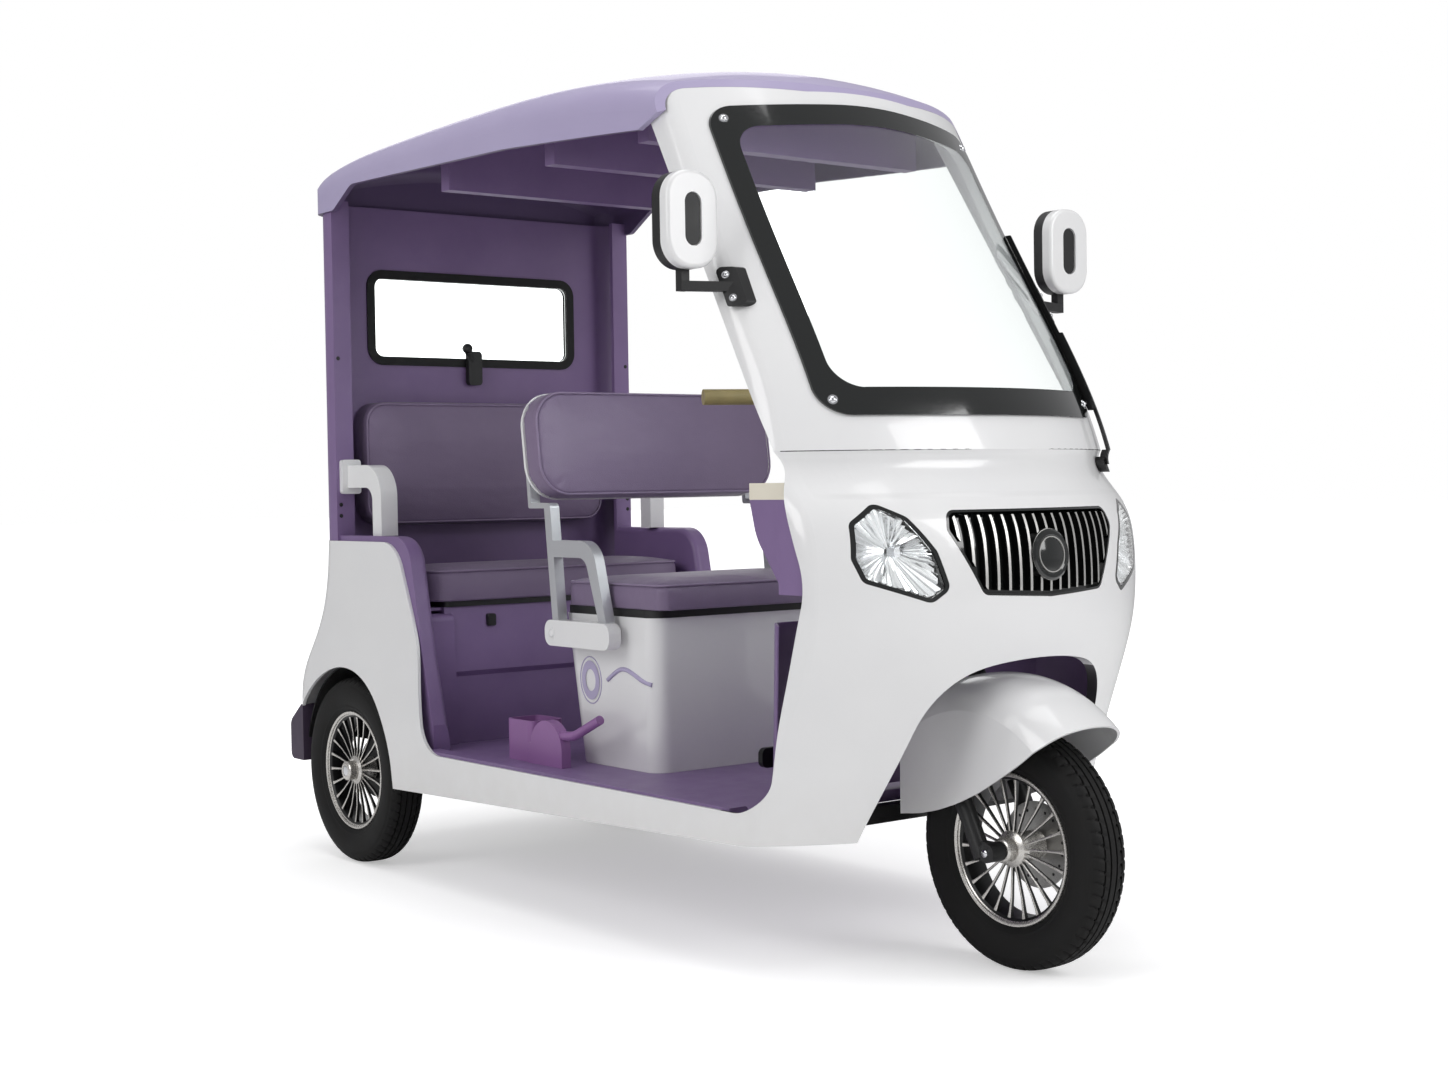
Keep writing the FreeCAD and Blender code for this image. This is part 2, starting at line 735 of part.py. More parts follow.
def lower_liner_space():
    """The room inside the lower shells, where the wall's foot stands."""
    return block(-FAR, FAR, -LINER_OUTER_Y + SEAT_GAP, LINER_OUTER_Y - SEAT_GAP, 0, FAR).common(
        lower_body(PANEL_WALL + SEAT_GAP)
    )


def rear_wall():
    """The purple rear wall with side returns, and the rear window in its rubber seal."""
    front = REAR_AXLE_X + WALL_RETURN
    rise = Vec(0, 0, EAVES_HEIGHT + WALL_TUCK - WALL_BASE)
    outer = Part.Face(wall_plan(0, front)).extrude(rise)
    inner = Part.Face(wall_plan(WALL_THICKNESS, front + OVERRUN)).extrude(rise)
    flange = block(
        front - WALL_THICKNESS, front, -WALL_HALF, -WALL_HALF + FLANGE_WIDTH, WALL_BASE, EAVES_HEIGHT + WALL_TUCK
    )
    wall = outer.cut(inner).fuse([flange, mirrored(flange)]).removeSplitter()
    wall = wall.cut(block(-FAR, FAR, -FAR, FAR, 0, QUARTER_HEIGHT + SEAT_GAP).cut(lower_liner_space()))
    eaves = EAVES_HEIGHT + SKIRT_SHARES[0][1] * SKIRT_RISE - SEAT_GAP
    under_roof = block(-FAR, FAR, -FAR, FAR, eaves, FAR).cut(roof_solid(ROOF_WALL + SEAT_GAP))
    wall = wall.cut(under_roof)
    back = REAR_AXLE_X - WALL_TAIL
    wall = wall.cut(window_prism(0, back - OVERRUN, back + WALL_THICKNESS + OVERRUN))
    add("rear_wall", *largest(wall))
    inside = back + WALL_THICKNESS + SEAL_PROUD
    seal = window_prism(SEAL_LIP, back - SEAL_PROUD, back - SEAT_GAP)
    seal = seal.fuse(window_prism(SEAL_LIP, back + WALL_THICKNESS + SEAT_GAP, inside))
    seal = seal.fuse(window_prism(-SEAT_GAP, back - SEAL_PROUD, inside))
    seal = seal.cut(window_prism(-SEAL_INNER, back - OVERRUN, back + WALL_THICKNESS + OVERRUN))
    add("rear_window_seal", *largest(seal.removeSplitter()))
    middle = back + WALL_THICKNESS / 2
    pane = window_prism(-SEAL_INNER - SEAT_GAP, middle - WINDOW_GLASS / 2, middle + WINDOW_GLASS / 2)
    add("rear_window_glass", pane)
    latch_x = inside + SEAT_GAP
    latch = rounded_block(
        latch_x, latch_x + LATCH_DEPTH, -LATCH_HALF - LATCH_Y, LATCH_HALF - LATCH_Y, WINDOW_BOTTOM - LATCH_DROP,
        WINDOW_BOTTOM + LATCH_RISE, LATCH_HALF / 2, "x",
    )
    add("rear_window_latch", latch)


LATCH_DEPTH = 18.0
LATCH_HALF = 22.0
LATCH_Y = 10.0
LATCH_DROP = 62.0
LATCH_RISE = 34.0

# Floor, wheel wells and inner liners
FLOOR_FRONT = 1662.0
FLOOR_REAR = 338.0
FLOOR_LIP = 9.0
LIP_INNER_Y = 452.0
TOEBOARD_HEIGHT = 740.0
TOEBOARD_LEAN = 60.0
TOEBOARD_THICKNESS = 14.0
TOEBOARD_HALF = 400.0
BENCH_FRONT_TOP = 284.0
BENCH_FRONT_FOOT = 312.0
BENCH_HALF = 366.0
CHEEK_INNER_Y = 346.0
CHEEK_AHEAD = 16.0
CHEEK_DROP = 16.0
CHEEK_DEPTH = 40.0
BENCH_TOP = 690.0
BENCH_BASE = 440.0
BENCH_WALL = 8.0
BENCH_STEP = 14.0
BENCH_STEP_HEIGHT = 508.0
LINER_THICKNESS = 47.0
LINER_SHOULDER = 85.0
COLUMN_SLOT_HALF = 62.0


def floor():
    """The purple floor: a tray with lips along the sills, and the toeboard in front of the driver."""
    x0, x1 = REAR_AXLE_X + FLOOR_REAR, REAR_AXLE_X + FLOOR_FRONT
    half = HALF_BODY + OVERRUN
    tray = block(x0, x1, -half, half, FLOOR_UNDERSIDE, FLOOR_HEIGHT)
    lip_x = REAR_AXLE_X + LINER_SHARES[-1][0] * WHEELBASE + SEAT_GAP
    lip = block(lip_x, x1, -half, -LIP_INNER_Y, FLOOR_HEIGHT, FLOOR_HEIGHT + FLOOR_LIP)
    lip = lip.makeFillet(FLOOR_LIP - SEAT_GAP, [top_inner_edge(lip)])
    board = side_slab(
        [
            (x1, FLOOR_UNDERSIDE),
            (x1 + TOEBOARD_THICKNESS, FLOOR_UNDERSIDE),
            (x1 + TOEBOARD_LEAN + TOEBOARD_THICKNESS, TOEBOARD_HEIGHT),
            (x1 + TOEBOARD_LEAN, TOEBOARD_HEIGHT),
        ],
        0, -TOEBOARD_HALF, TOEBOARD_HALF,
    )
    column = block(x1 - OVERRUN, FAR, -COLUMN_SLOT_HALF, COLUMN_SLOT_HALF, FLOOR_HEIGHT + COLUMN_SLOT_DROP, FAR)
    column = column.fuse(block(x1, FAR, -DOWN_SLOT_HALF, DOWN_SLOT_HALF, 0, FAR))
    pan = tray.fuse([board.cut(column), lip, mirrored(lip)]).removeSplitter()
    pan = pan.common(lower_body(PANEL_WALL + SEAT_GAP))
    add("floor_pan", *largest(pan))


def top_inner_edge(solid):
    """The edge of a right-hand lip that is highest and nearest the middle."""
    box = solid.BoundBox
    for edge in solid.Edges:
        ends = edge.BoundBox
        if ends.ZMin > box.ZMax - FIT_GAP and ends.YMin > box.YMax - FIT_GAP:
            return edge
    return None


COLUMN_SLOT_DROP = 245.0
DOWN_SLOT_HALF = 28.0


def liners():
    """The purple inner linings beside the rear bench, which show as a broad rounded band at the doorway."""
    x_rear = REAR_AXLE_X + WALL_RETURN + SEAT_GAP
    band = [(REAR_AXLE_X + x * WHEELBASE, z * SEAM_HEIGHT) for x, z in LINER_SHARES]
    band = [(x_rear, band[0][1])] + band
    band += [(band[-1][0], FLOOR_HEIGHT + SEAT_GAP), (x_rear, FLOOR_HEIGHT + SEAT_GAP)]
    radii = [0, LINER_SHOULDER, LINER_SHOULDER * 2, 0, 0, 0]
    y0 = -LINER_OUTER_Y + SEAT_GAP
    liner = side_slab(band, radii, y0, y0 + LINER_THICKNESS)
    well = rod(
        Vec(REAR_AXLE_X, -HALF_BODY - OVERRUN, TYRE_RADIUS),
        Vec(REAR_AXLE_X, -HALF_TRACK + TYRE_WIDTH, TYRE_RADIUS),
        WELL_RADIUS + SEAT_GAP,
    )
    liner = liner.cut(well)
    edges = inner_front_edges(liner)
    if edges:
        liner = liner.makeFillet(LINER_ROUNDING, edges)
    add("side_liners", *both(largest(liner)[0]))


# The liners' front outline: shares of the wheelbase from the rear axle, and of the seam's height
LINER_SHARES = (
    (0.1585, 0.825),
    (0.1900, 0.541),
    (0.2140, 0.380),
)
LINER_ROUNDING = 16.0


def inner_front_edges(solid):
    """The long free edges of a liner, on its cabin side, along its top, shoulder and front."""
    inner_y = solid.BoundBox.YMax
    found = []
    for edge in solid.Edges:
        box = edge.BoundBox
        flat = box.YMin > inner_y - FIT_GAP
        if flat and box.ZMax > QUARTER_HEIGHT / 2 and box.XMax > REAR_AXLE_X + WALL_RETURN + OVERRUN:
            if box.XMin > REAR_AXLE_X + BENCH_WALL and box.ZMin > FLOOR_HEIGHT + FLOOR_LIP or box.ZMin > QUARTER_HEIGHT:
                found.append(edge)
    return found


WELL_WALL = 4.0
WELL_INNER_Y = 374.0
WELL_RADIUS = 282.0


def wheel_wells():
    """Black inner arches round the rear wheels, and the mudflaps behind them."""
    y_out = -LINER_OUTER_Y + SEAT_GAP
    outer = rod(Vec(REAR_AXLE_X, y_out, TYRE_RADIUS), Vec(REAR_AXLE_X, -WELL_INNER_Y, TYRE_RADIUS), WELL_RADIUS)
    inner = rod(
        Vec(REAR_AXLE_X, y_out - OVERRUN, TYRE_RADIUS), Vec(REAR_AXLE_X, -WELL_INNER_Y - WELL_WALL, TYRE_RADIUS),
        WELL_RADIUS - WELL_WALL,
    )
    well = outer.cut(inner).cut(block(-FAR, FAR, -FAR, FAR, -FAR, FLOOR_UNDERSIDE))
    flap = side_slab(
        [
            (REAR_AXLE_X - FLAP_NEAR, FLAP_TOP),
            (REAR_AXLE_X - FLAP_NEAR, FLAP_BOTTOM),
            (-OVERALL_LENGTH / 2, FLAP_BOTTOM),
            (-OVERALL_LENGTH / 2, FLAP_BOTTOM + FLAP_BEND),
            (REAR_AXLE_X - FLAP_NEAR - FLAP_THICKNESS, FLAP_TOP),
        ],
        [0, 0, FLAP_THICKNESS * 2, FLAP_THICKNESS * 3, 0], -FLAP_OUTER, -FLAP_INNER,
    )
    add("wheel_wells", *both(well))
    add("mudflaps", *both(flap))


FLAP_NEAR = 275.2
FLAP_TOP = 403.7
FLAP_BOTTOM = 247.0
FLAP_BEND = 106.0
FLAP_THICKNESS = 10.0
FLAP_OUTER = 492.0
FLAP_INNER = 388.0

# Rear bench: a moulded box with a lifting cushion, and the back cushion on the wall
CUSHION_THICKNESS = 88.0
REAR_CUSHION_FRONT = 318.0
REAR_CUSHION_REAR = 20.0
REAR_CUSHION_HALF = 402.0
BASE_BOARD = 14.0
REAR_BACK_BOTTOM = 900.0
REAR_BACK_TOP = 1240.0
REAR_BACK_HALF = 390.0
BACK_THICKNESS = 78.0
CUSHION_ROUNDING = 26.0
CUSHION_CORNER = 60.0


def bench():
    """The hollow purple bench, open at the top under its lid."""
    x_rear = REAR_AXLE_X - WALL_TAIL + WALL_THICKNESS + SEAT_GAP
    top_x, foot_x = REAR_AXLE_X + BENCH_FRONT_TOP, REAR_AXLE_X + BENCH_FRONT_FOOT
    step_x = top_x + (foot_x - top_x) * (BENCH_TOP - BENCH_STEP_HEIGHT) / (BENCH_TOP - FLOOR_HEIGHT)
    outline = [
        (x_rear, BENCH_BASE),
        (foot_x - BENCH_WALL - BENCH_STEP * 2, BENCH_BASE),
        (foot_x - BENCH_WALL, FLOOR_HEIGHT + SEAT_GAP),
        (foot_x, FLOOR_HEIGHT + SEAT_GAP),
        (step_x, BENCH_STEP_HEIGHT),
        (step_x + BENCH_STEP, BENCH_STEP_HEIGHT + BENCH_STEP),
        (top_x + BENCH_STEP, BENCH_TOP),
        (x_rear, BENCH_TOP),
    ]
    solid = side_slab(outline, 0, -BENCH_HALF, BENCH_HALF)
    hollow = block(
        x_rear + BENCH_WALL, top_x - BENCH_WALL, -BENCH_HALF + BENCH_WALL, BENCH_HALF - BENCH_WALL,
        BENCH_BASE + BENCH_WALL, BENCH_TOP + OVERRUN,
    )
    side_y = LINER_INNER_Y - SEAT_GAP
    deck = block(REAR_AXLE_X + WALL_RETURN, top_x, -side_y, side_y, BENCH_TOP - BENCH_WALL, BENCH_TOP)
    front_x = foot_x + CHEEK_AHEAD
    cheek = side_slab(
        [
            (front_x - CHEEK_DEPTH, FLOOR_HEIGHT + SEAT_GAP),
            (front_x, FLOOR_HEIGHT + SEAT_GAP),
            (top_x + BENCH_STEP + CHEEK_AHEAD, BENCH_TOP - CHEEK_DROP),
            (top_x + BENCH_STEP + CHEEK_AHEAD - CHEEK_DEPTH, BENCH_TOP - CHEEK_DROP),
        ],
        [0, 0, CHEEK_DEPTH / 2, 0], -side_y, -CHEEK_INNER_Y,
    )
    shell = solid.fuse([deck, cheek, mirrored(cheek)]).cut(hollow)
    add("rear_bench", *largest(shell.removeSplitter()))


LINER_INNER_Y = LINER_OUTER_Y - LINER_THICKNESS


def cushion(x0, x1, half, z0, z1, corner, rounding):
    """A seat cushion: round corners in plan and a softened top edge."""
    solid = rounded_block(x0, x1, -half, half, z0, z1, corner, "z")
    rim = [e for e in solid.Edges if e.BoundBox.ZMin > z1 - FIT_GAP]
    return solid.makeFillet(rounding, rim)


def rear_seat():
    """The passenger bench's lid: a base board and its cushion; and the back cushion."""
    x0, x1 = REAR_AXLE_X + REAR_CUSHION_REAR, REAR_AXLE_X + REAR_CUSHION_FRONT
    z0 = BENCH_TOP + SEAT_GAP
    board = rounded_block(
        x0, x1 - BASE_BOARD, -BENCH_HALF, BENCH_HALF, z0, z0 + BASE_BOARD, BASE_BOARD, "z",
    )
    add("rear_seat_board", board)
    z1 = z0 + BASE_BOARD + SEAT_GAP
    add(
        "rear_seat_cushion",
        cushion(x0, x1, REAR_CUSHION_HALF, z1, z1 + CUSHION_THICKNESS, CUSHION_CORNER, CUSHION_ROUNDING),
    )
    back_x = REAR_AXLE_X - WALL_TAIL + WALL_THICKNESS + SEAT_GAP
    back = rounded_block(
        back_x, back_x + BACK_THICKNESS, -REAR_BACK_HALF, REAR_BACK_HALF, REAR_BACK_BOTTOM, REAR_BACK_TOP,
        CUSHION_CORNER, "x",
    )
    rim = [e for e in back.Edges if e.BoundBox.XMin > back_x + BACK_THICKNESS - FIT_GAP]
    add("rear_backrest", back.makeFillet(CUSHION_ROUNDING, rim))


# Rear armrests: a square bent tube from the wall's return down to the liner's top
ARM_TOP = 1064.0
ARM_BAR = 60.0
ARM_SIZE = 48.0
ARM_REACH = 119.0
ARM_PLATE = 92.0
ARM_BEND = 84.0
ARM_Y = 435.0


def rear_armrests():
    """The white bent arms between the rear wall's returns and the liners."""
    front_x = REAR_AXLE_X + ARM_REACH
    start_x = REAR_AXLE_X + WALL_RETURN + SEAT_GAP
    foot_z = liner_top() + SEAT_GAP
    half = ARM_SIZE / 2
    outline = [
        (start_x, ARM_TOP),
        (start_x, ARM_TOP - ARM_BAR),
        (front_x - half, ARM_TOP - ARM_BAR),
        (front_x - half, foot_z),
        (front_x + half, foot_z),
        (front_x + half, ARM_TOP),
    ]
    radii = [0, 0, ARM_BEND - ARM_SIZE, 0, 0, ARM_BEND]
    arm = side_slab(outline, radii, -ARM_Y - half, -ARM_Y + half)
    middle = ARM_TOP - ARM_BAR / 2
    plate = rounded_block(
        start_x, start_x + PANEL_WALL * 2, -ARM_Y - half - PANEL_WALL * 2, -ARM_Y + half - PANEL_WALL,
        middle - ARM_PLATE / 2, middle + ARM_PLATE / 2, PANEL_WALL, "x",
    )
    add("rear_armrests", *both(arm.fuse(plate).removeSplitter()))


def liner_top():
    """The height of the liners' top faces."""
    return LINER_SHARES[0][1] * SEAM_HEIGHT


# Driver's seat box with its lifting cushion
BOX_FRONT_TOP = 1142.0
BOX_FRONT_FOOT = 1128.0
BOX_REAR_TOP = 757.0
BOX_REAR_FOOT = 806.0
BOX_HALF_TOP = 304.0
BOX_HALF_FOOT = 292.0
BOX_TOP = 694.0
BOX_CORNER = 42.0
BOX_WALL = 8.0
SEAT_STRIP = 18.0
SEAT_CUSHION_THICKNESS = 66.0
SEAT_FRONT = 1180.0
SEAT_REAR = 780.0
SEAT_HALF = 311.0
SEAT_CORNER = 36.0
BATTERY_LENGTH = 230.0
BATTERY_WIDTH = 520.0
BATTERY_HEIGHT = 250.0


def box_wire(height, inset):
    """The seat box's plan outline at one height, between its foot and its top."""
    share = (height - FLOOR_HEIGHT) / (BOX_TOP - FLOOR_HEIGHT)
    front = REAR_AXLE_X + BOX_FRONT_FOOT + share * (BOX_FRONT_TOP - BOX_FRONT_FOOT) - inset
    rear = REAR_AXLE_X + BOX_REAR_FOOT + share * (BOX_REAR_TOP - BOX_REAR_FOOT) + inset
    half = BOX_HALF_FOOT + share * (BOX_HALF_TOP - BOX_HALF_FOOT) - inset
    points = [Vec(rear, -half, height), Vec(front, -half, height), Vec(front, half, height), Vec(rear, half, height)]
    return rounded_wire(points, BOX_CORNER - inset)


def driver_box():
    """The white seat box, hollow and open at its top, with the battery pack in it."""
    foot = FLOOR_HEIGHT + SEAT_GAP
    outer = Part.makeLoft([box_wire(foot, 0), box_wire(BOX_TOP, 0)], True, True)
    inner = Part.makeLoft(
        [box_wire(foot + BOX_WALL, BOX_WALL), box_wire(BOX_TOP + OVERRUN, BOX_WALL)], True, True
    )
    add("seat_box", *largest(outer.cut(inner)))
    middle = REAR_AXLE_X + (BOX_FRONT_FOOT + BOX_REAR_FOOT) / 2
    z0 = foot + BOX_WALL + SEAT_GAP
    pack = block(
        middle - BATTERY_LENGTH / 2, middle + BATTERY_LENGTH / 2, -BATTERY_WIDTH / 2, BATTERY_WIDTH / 2,
        z0, z0 + BATTERY_HEIGHT,
    )
    add("battery_pack", pack)
    x0, x1 = REAR_AXLE_X + BOX_REAR_TOP + BOX_WALL, REAR_AXLE_X + BOX_FRONT_TOP
    z1 = BOX_TOP + SEAT_GAP
    add("driver_seat_board", rounded_block(x0, x1, -BOX_HALF_TOP, BOX_HALF_TOP, z1, z1 + SEAT_STRIP, BOX_CORNER, "z"))
    z2 = z1 + SEAT_STRIP + SEAT_GAP
    seat = cushion(
        REAR_AXLE_X + SEAT_REAR, REAR_AXLE_X + SEAT_FRONT, SEAT_HALF, z2, z2 + SEAT_CUSHION_THICKNESS,
        SEAT_CORNER, CUSHION_ROUNDING,
    )
    add("driver_seat_cushion", seat)


# Driver's backrest on two side frames
REST_BOTTOM = 975.0
REST_TOP = 1238.0
REST_HALF = 364.0
REST_THICKNESS = 62.0
REST_SHELL = 16.0
REST_FRONT = 776.0
REST_CORNER = 84.0
REST_LEAN = 34.0
STAY_Y = 334.0
STAY_X = 796.0
STAY_TOP_X = 767.0
STAY_SIZE = 26.0
STAY_CLEAR = 15.0
PLATE_Y = 343.0
PLATE_REAR = 768.0
PLATE_FRONT = 1040.0
PLATE_HEIGHT = 649.0
PLATE_SIZE = 62.0
PLATE_THICKNESS = 34.0
LOOP_TOP = 870.0
LOOP_BAR = 40.0
LOOP_FRONT = 957.0
LOOP_SIZE = 30.0
LOOP_BEND = 66.0
LOOP_FOOT = 1010.0


def backrest():
    """The driver's back cushion with its white shell, leaning back on two stays."""
    lean = math.degrees(math.atan2(REST_LEAN, REST_TOP - REST_BOTTOM))
    pivot = Vec(REAR_AXLE_X + REST_FRONT, 0, REST_BOTTOM)
    x1 = REAR_AXLE_X + REST_FRONT
    pad = rounded_block(x1 - REST_THICKNESS, x1, -REST_HALF, REST_HALF, REST_BOTTOM, REST_TOP, REST_CORNER, "x")
    rim = [e for e in pad.Edges if e.BoundBox.XMin > x1 - FIT_GAP]
    pad = pad.makeFillet(CUSHION_ROUNDING, rim)
    back_x = x1 - REST_THICKNESS - SEAT_GAP
    shell = rounded_block(
        back_x - REST_SHELL, back_x, -REST_HALF, REST_HALF, REST_BOTTOM, REST_TOP, REST_CORNER, "x"
    )
    rear_rim = [e for e in shell.Edges if e.BoundBox.XMax < back_x - REST_SHELL + FIT_GAP]
    shell = shell.makeFillet(REST_SHELL * 2 / 3, rear_rim)
    for solid in (pad, shell):
        solid.rotate(pivot, Vec(0, 1, 0), -lean)
    add("driver_backrest", pad)
    add("backrest_shell", shell)
    x = REAR_AXLE_X + STAY_X
    half = STAY_SIZE / 2
    shell_foot = back_x - REST_SHELL - FIT_GAP
    top_x = REAR_AXLE_X + STAY_TOP_X
    top_z = REST_BOTTOM - STAY_CLEAR
    stay = side_slab(
        [
            (x - half, PLATE_HEIGHT + PLATE_SIZE / 2 - FIT_GAP),
            (x + half, PLATE_HEIGHT + PLATE_SIZE / 2 - FIT_GAP),
            (top_x + half, top_z),
            (shell_foot, top_z),
            (shell_foot - STAY_LEAN_TOP, REST_BOTTOM + STAY_RISE),
            (shell_foot - STAY_LEAN_TOP - half, REST_BOTTOM + STAY_RISE),
            (shell_foot - half, top_z - half),
            (top_x - half, top_z - half),
        ],
        [0, 0, half, 0, 0, 0, half / 2, 0], -STAY_Y - half, -STAY_Y + half,
    )
    plate = side_slab(
        [
            (REAR_AXLE_X + PLATE_REAR, PLATE_HEIGHT - PLATE_SIZE / 2),
            (REAR_AXLE_X + PLATE_FRONT, PLATE_HEIGHT - PLATE_SIZE / 2),
            (REAR_AXLE_X + PLATE_FRONT, PLATE_HEIGHT + PLATE_SIZE / 2),
            (REAR_AXLE_X + PLATE_REAR, PLATE_HEIGHT + PLATE_SIZE / 2),
        ],
        PLATE_SIZE * 2 / 5, -PLATE_Y - PLATE_THICKNESS / 2, -PLATE_Y + PLATE_THICKNESS / 2,
    )
    share = (PLATE_HEIGHT - FLOOR_HEIGHT) / (BOX_TOP - FLOOR_HEIGHT)
    inner_y = -(BOX_HALF_FOOT + share * (BOX_HALF_TOP - BOX_HALF_FOOT))
    boss = block(
        REAR_AXLE_X + PLATE_REAR + PLATE_SIZE, REAR_AXLE_X + PLATE_FRONT - PLATE_SIZE / 2,
        -PLATE_Y + PLATE_THICKNESS / 2, inner_y - SEAT_GAP * 4, PLATE_HEIGHT - PLATE_SIZE / 4,
        PLATE_HEIGHT + PLATE_SIZE / 4,
    )
    loop = [
        (top_x, LOOP_TOP),
        (top_x, LOOP_TOP - LOOP_BAR),
        (REAR_AXLE_X + LOOP_FRONT - LOOP_SIZE, LOOP_TOP - LOOP_BAR),
        (REAR_AXLE_X + LOOP_FOOT - LOOP_SIZE, PLATE_HEIGHT + PLATE_SIZE / 2 - FIT_GAP),
        (REAR_AXLE_X + LOOP_FOOT, PLATE_HEIGHT + PLATE_SIZE / 2 - FIT_GAP),
        (REAR_AXLE_X + LOOP_FRONT, LOOP_TOP),
    ]
    arm = side_slab(loop, [0, 0, LOOP_BEND - LOOP_SIZE, 0, 0, LOOP_BEND], -STAY_Y - half, -STAY_Y + half)
    add("seat_brackets", *both(plate.fuse(boss).removeSplitter()))
    add("seat_stays", *both(stay.fuse(arm).cut(plate).removeSplitter()))


STAY_LEAN_TOP = 12.0
STAY_RISE = 90.0

# Dashboard pods behind the nose
POD_TOP = 1000.0
POD_LID = 34.0
POD_REAR = 1656.0
POD_FOOT_X = 1760.0
POD_FOOT = 780.0
POD_OUTER = 432.0
POD_INNER = 150.0
POD_FRONT = 1880.0
WING_REAR = 1800.0
POD_ROUNDING = 60.0


def dashboard():
    """Purple storage pods with cream tops, left and right of the steering column, and a bridge panel."""
    inner = lower_body(PANEL_WALL + SEAT_GAP)
    outline = [
        (REAR_AXLE_X + POD_REAR, POD_TOP - POD_LID),
        (REAR_AXLE_X + POD_REAR + POD_ROUNDING / 3, (POD_TOP + POD_FOOT) / 2),
        (REAR_AXLE_X + POD_FOOT_X, POD_FOOT),
        (REAR_AXLE_X + POD_FRONT, POD_FOOT),
        (REAR_AXLE_X + POD_FRONT, POD_TOP - POD_LID),
    ]
    pod = side_slab(outline, [0, POD_ROUNDING * 2, POD_ROUNDING / 3, 0, 0], -POD_OUTER, -POD_INNER)
    pod = pod.common(inner)
    lid = block(
        REAR_AXLE_X + POD_REAR, REAR_AXLE_X + POD_FRONT, -POD_OUTER, -POD_INNER, POD_TOP - POD_LID + SEAT_GAP, POD_TOP
    )
    lid = lid.common(inner)
    bridge = block(
        REAR_AXLE_X + POD_FRONT - BRIDGE_THICKNESS, REAR_AXLE_X + POD_FRONT, -POD_INNER, POD_INNER,
        BRIDGE_FOOT, POD_TOP - POD_LID,
    )
    wing = block(
        REAR_AXLE_X + WING_REAR, REAR_AXLE_X + POD_FRONT, -HALF_BODY, -POD_OUTER, POD_FOOT, POD_TOP - POD_LID,
    ).common(inner)
    lamp_room = front_cut(LAMP_SHARES, LAMP_ROUNDING, -SEAT_GAP, NOSE_BACK_X, NOSE_FRONT_X)
    lamp_room = lamp_room.cut(lower_body(BOWL_DEPTH + SEAT_GAP))
    pods = largest(pod)[0].fuse(wing).cut(lamp_room)
    add("dash_pods", pods.fuse([mirrored(pods), bridge]).removeSplitter())
    add("dash_tops", *both(largest(lid)[0]))


BRIDGE_THICKNESS = 14.0
BRIDGE_FOOT = 900.0

# Floor controls: parking brake with its cup tray, and the foot brake
TRAY_X = 640.0
TRAY_LENGTH = 115.0
TRAY_Y = 395.0
TRAY_WIDTH = 96.0
TRAY_HEIGHT = 99.0
TRAY_WALL = 6.0
LEVER_X = 828.0
LEVER_RADIUS = 11.0
CHEEK_RADIUS = 68.0
CHEEK_RISE = 40.0
CHEEK_THICKNESS = 26.0


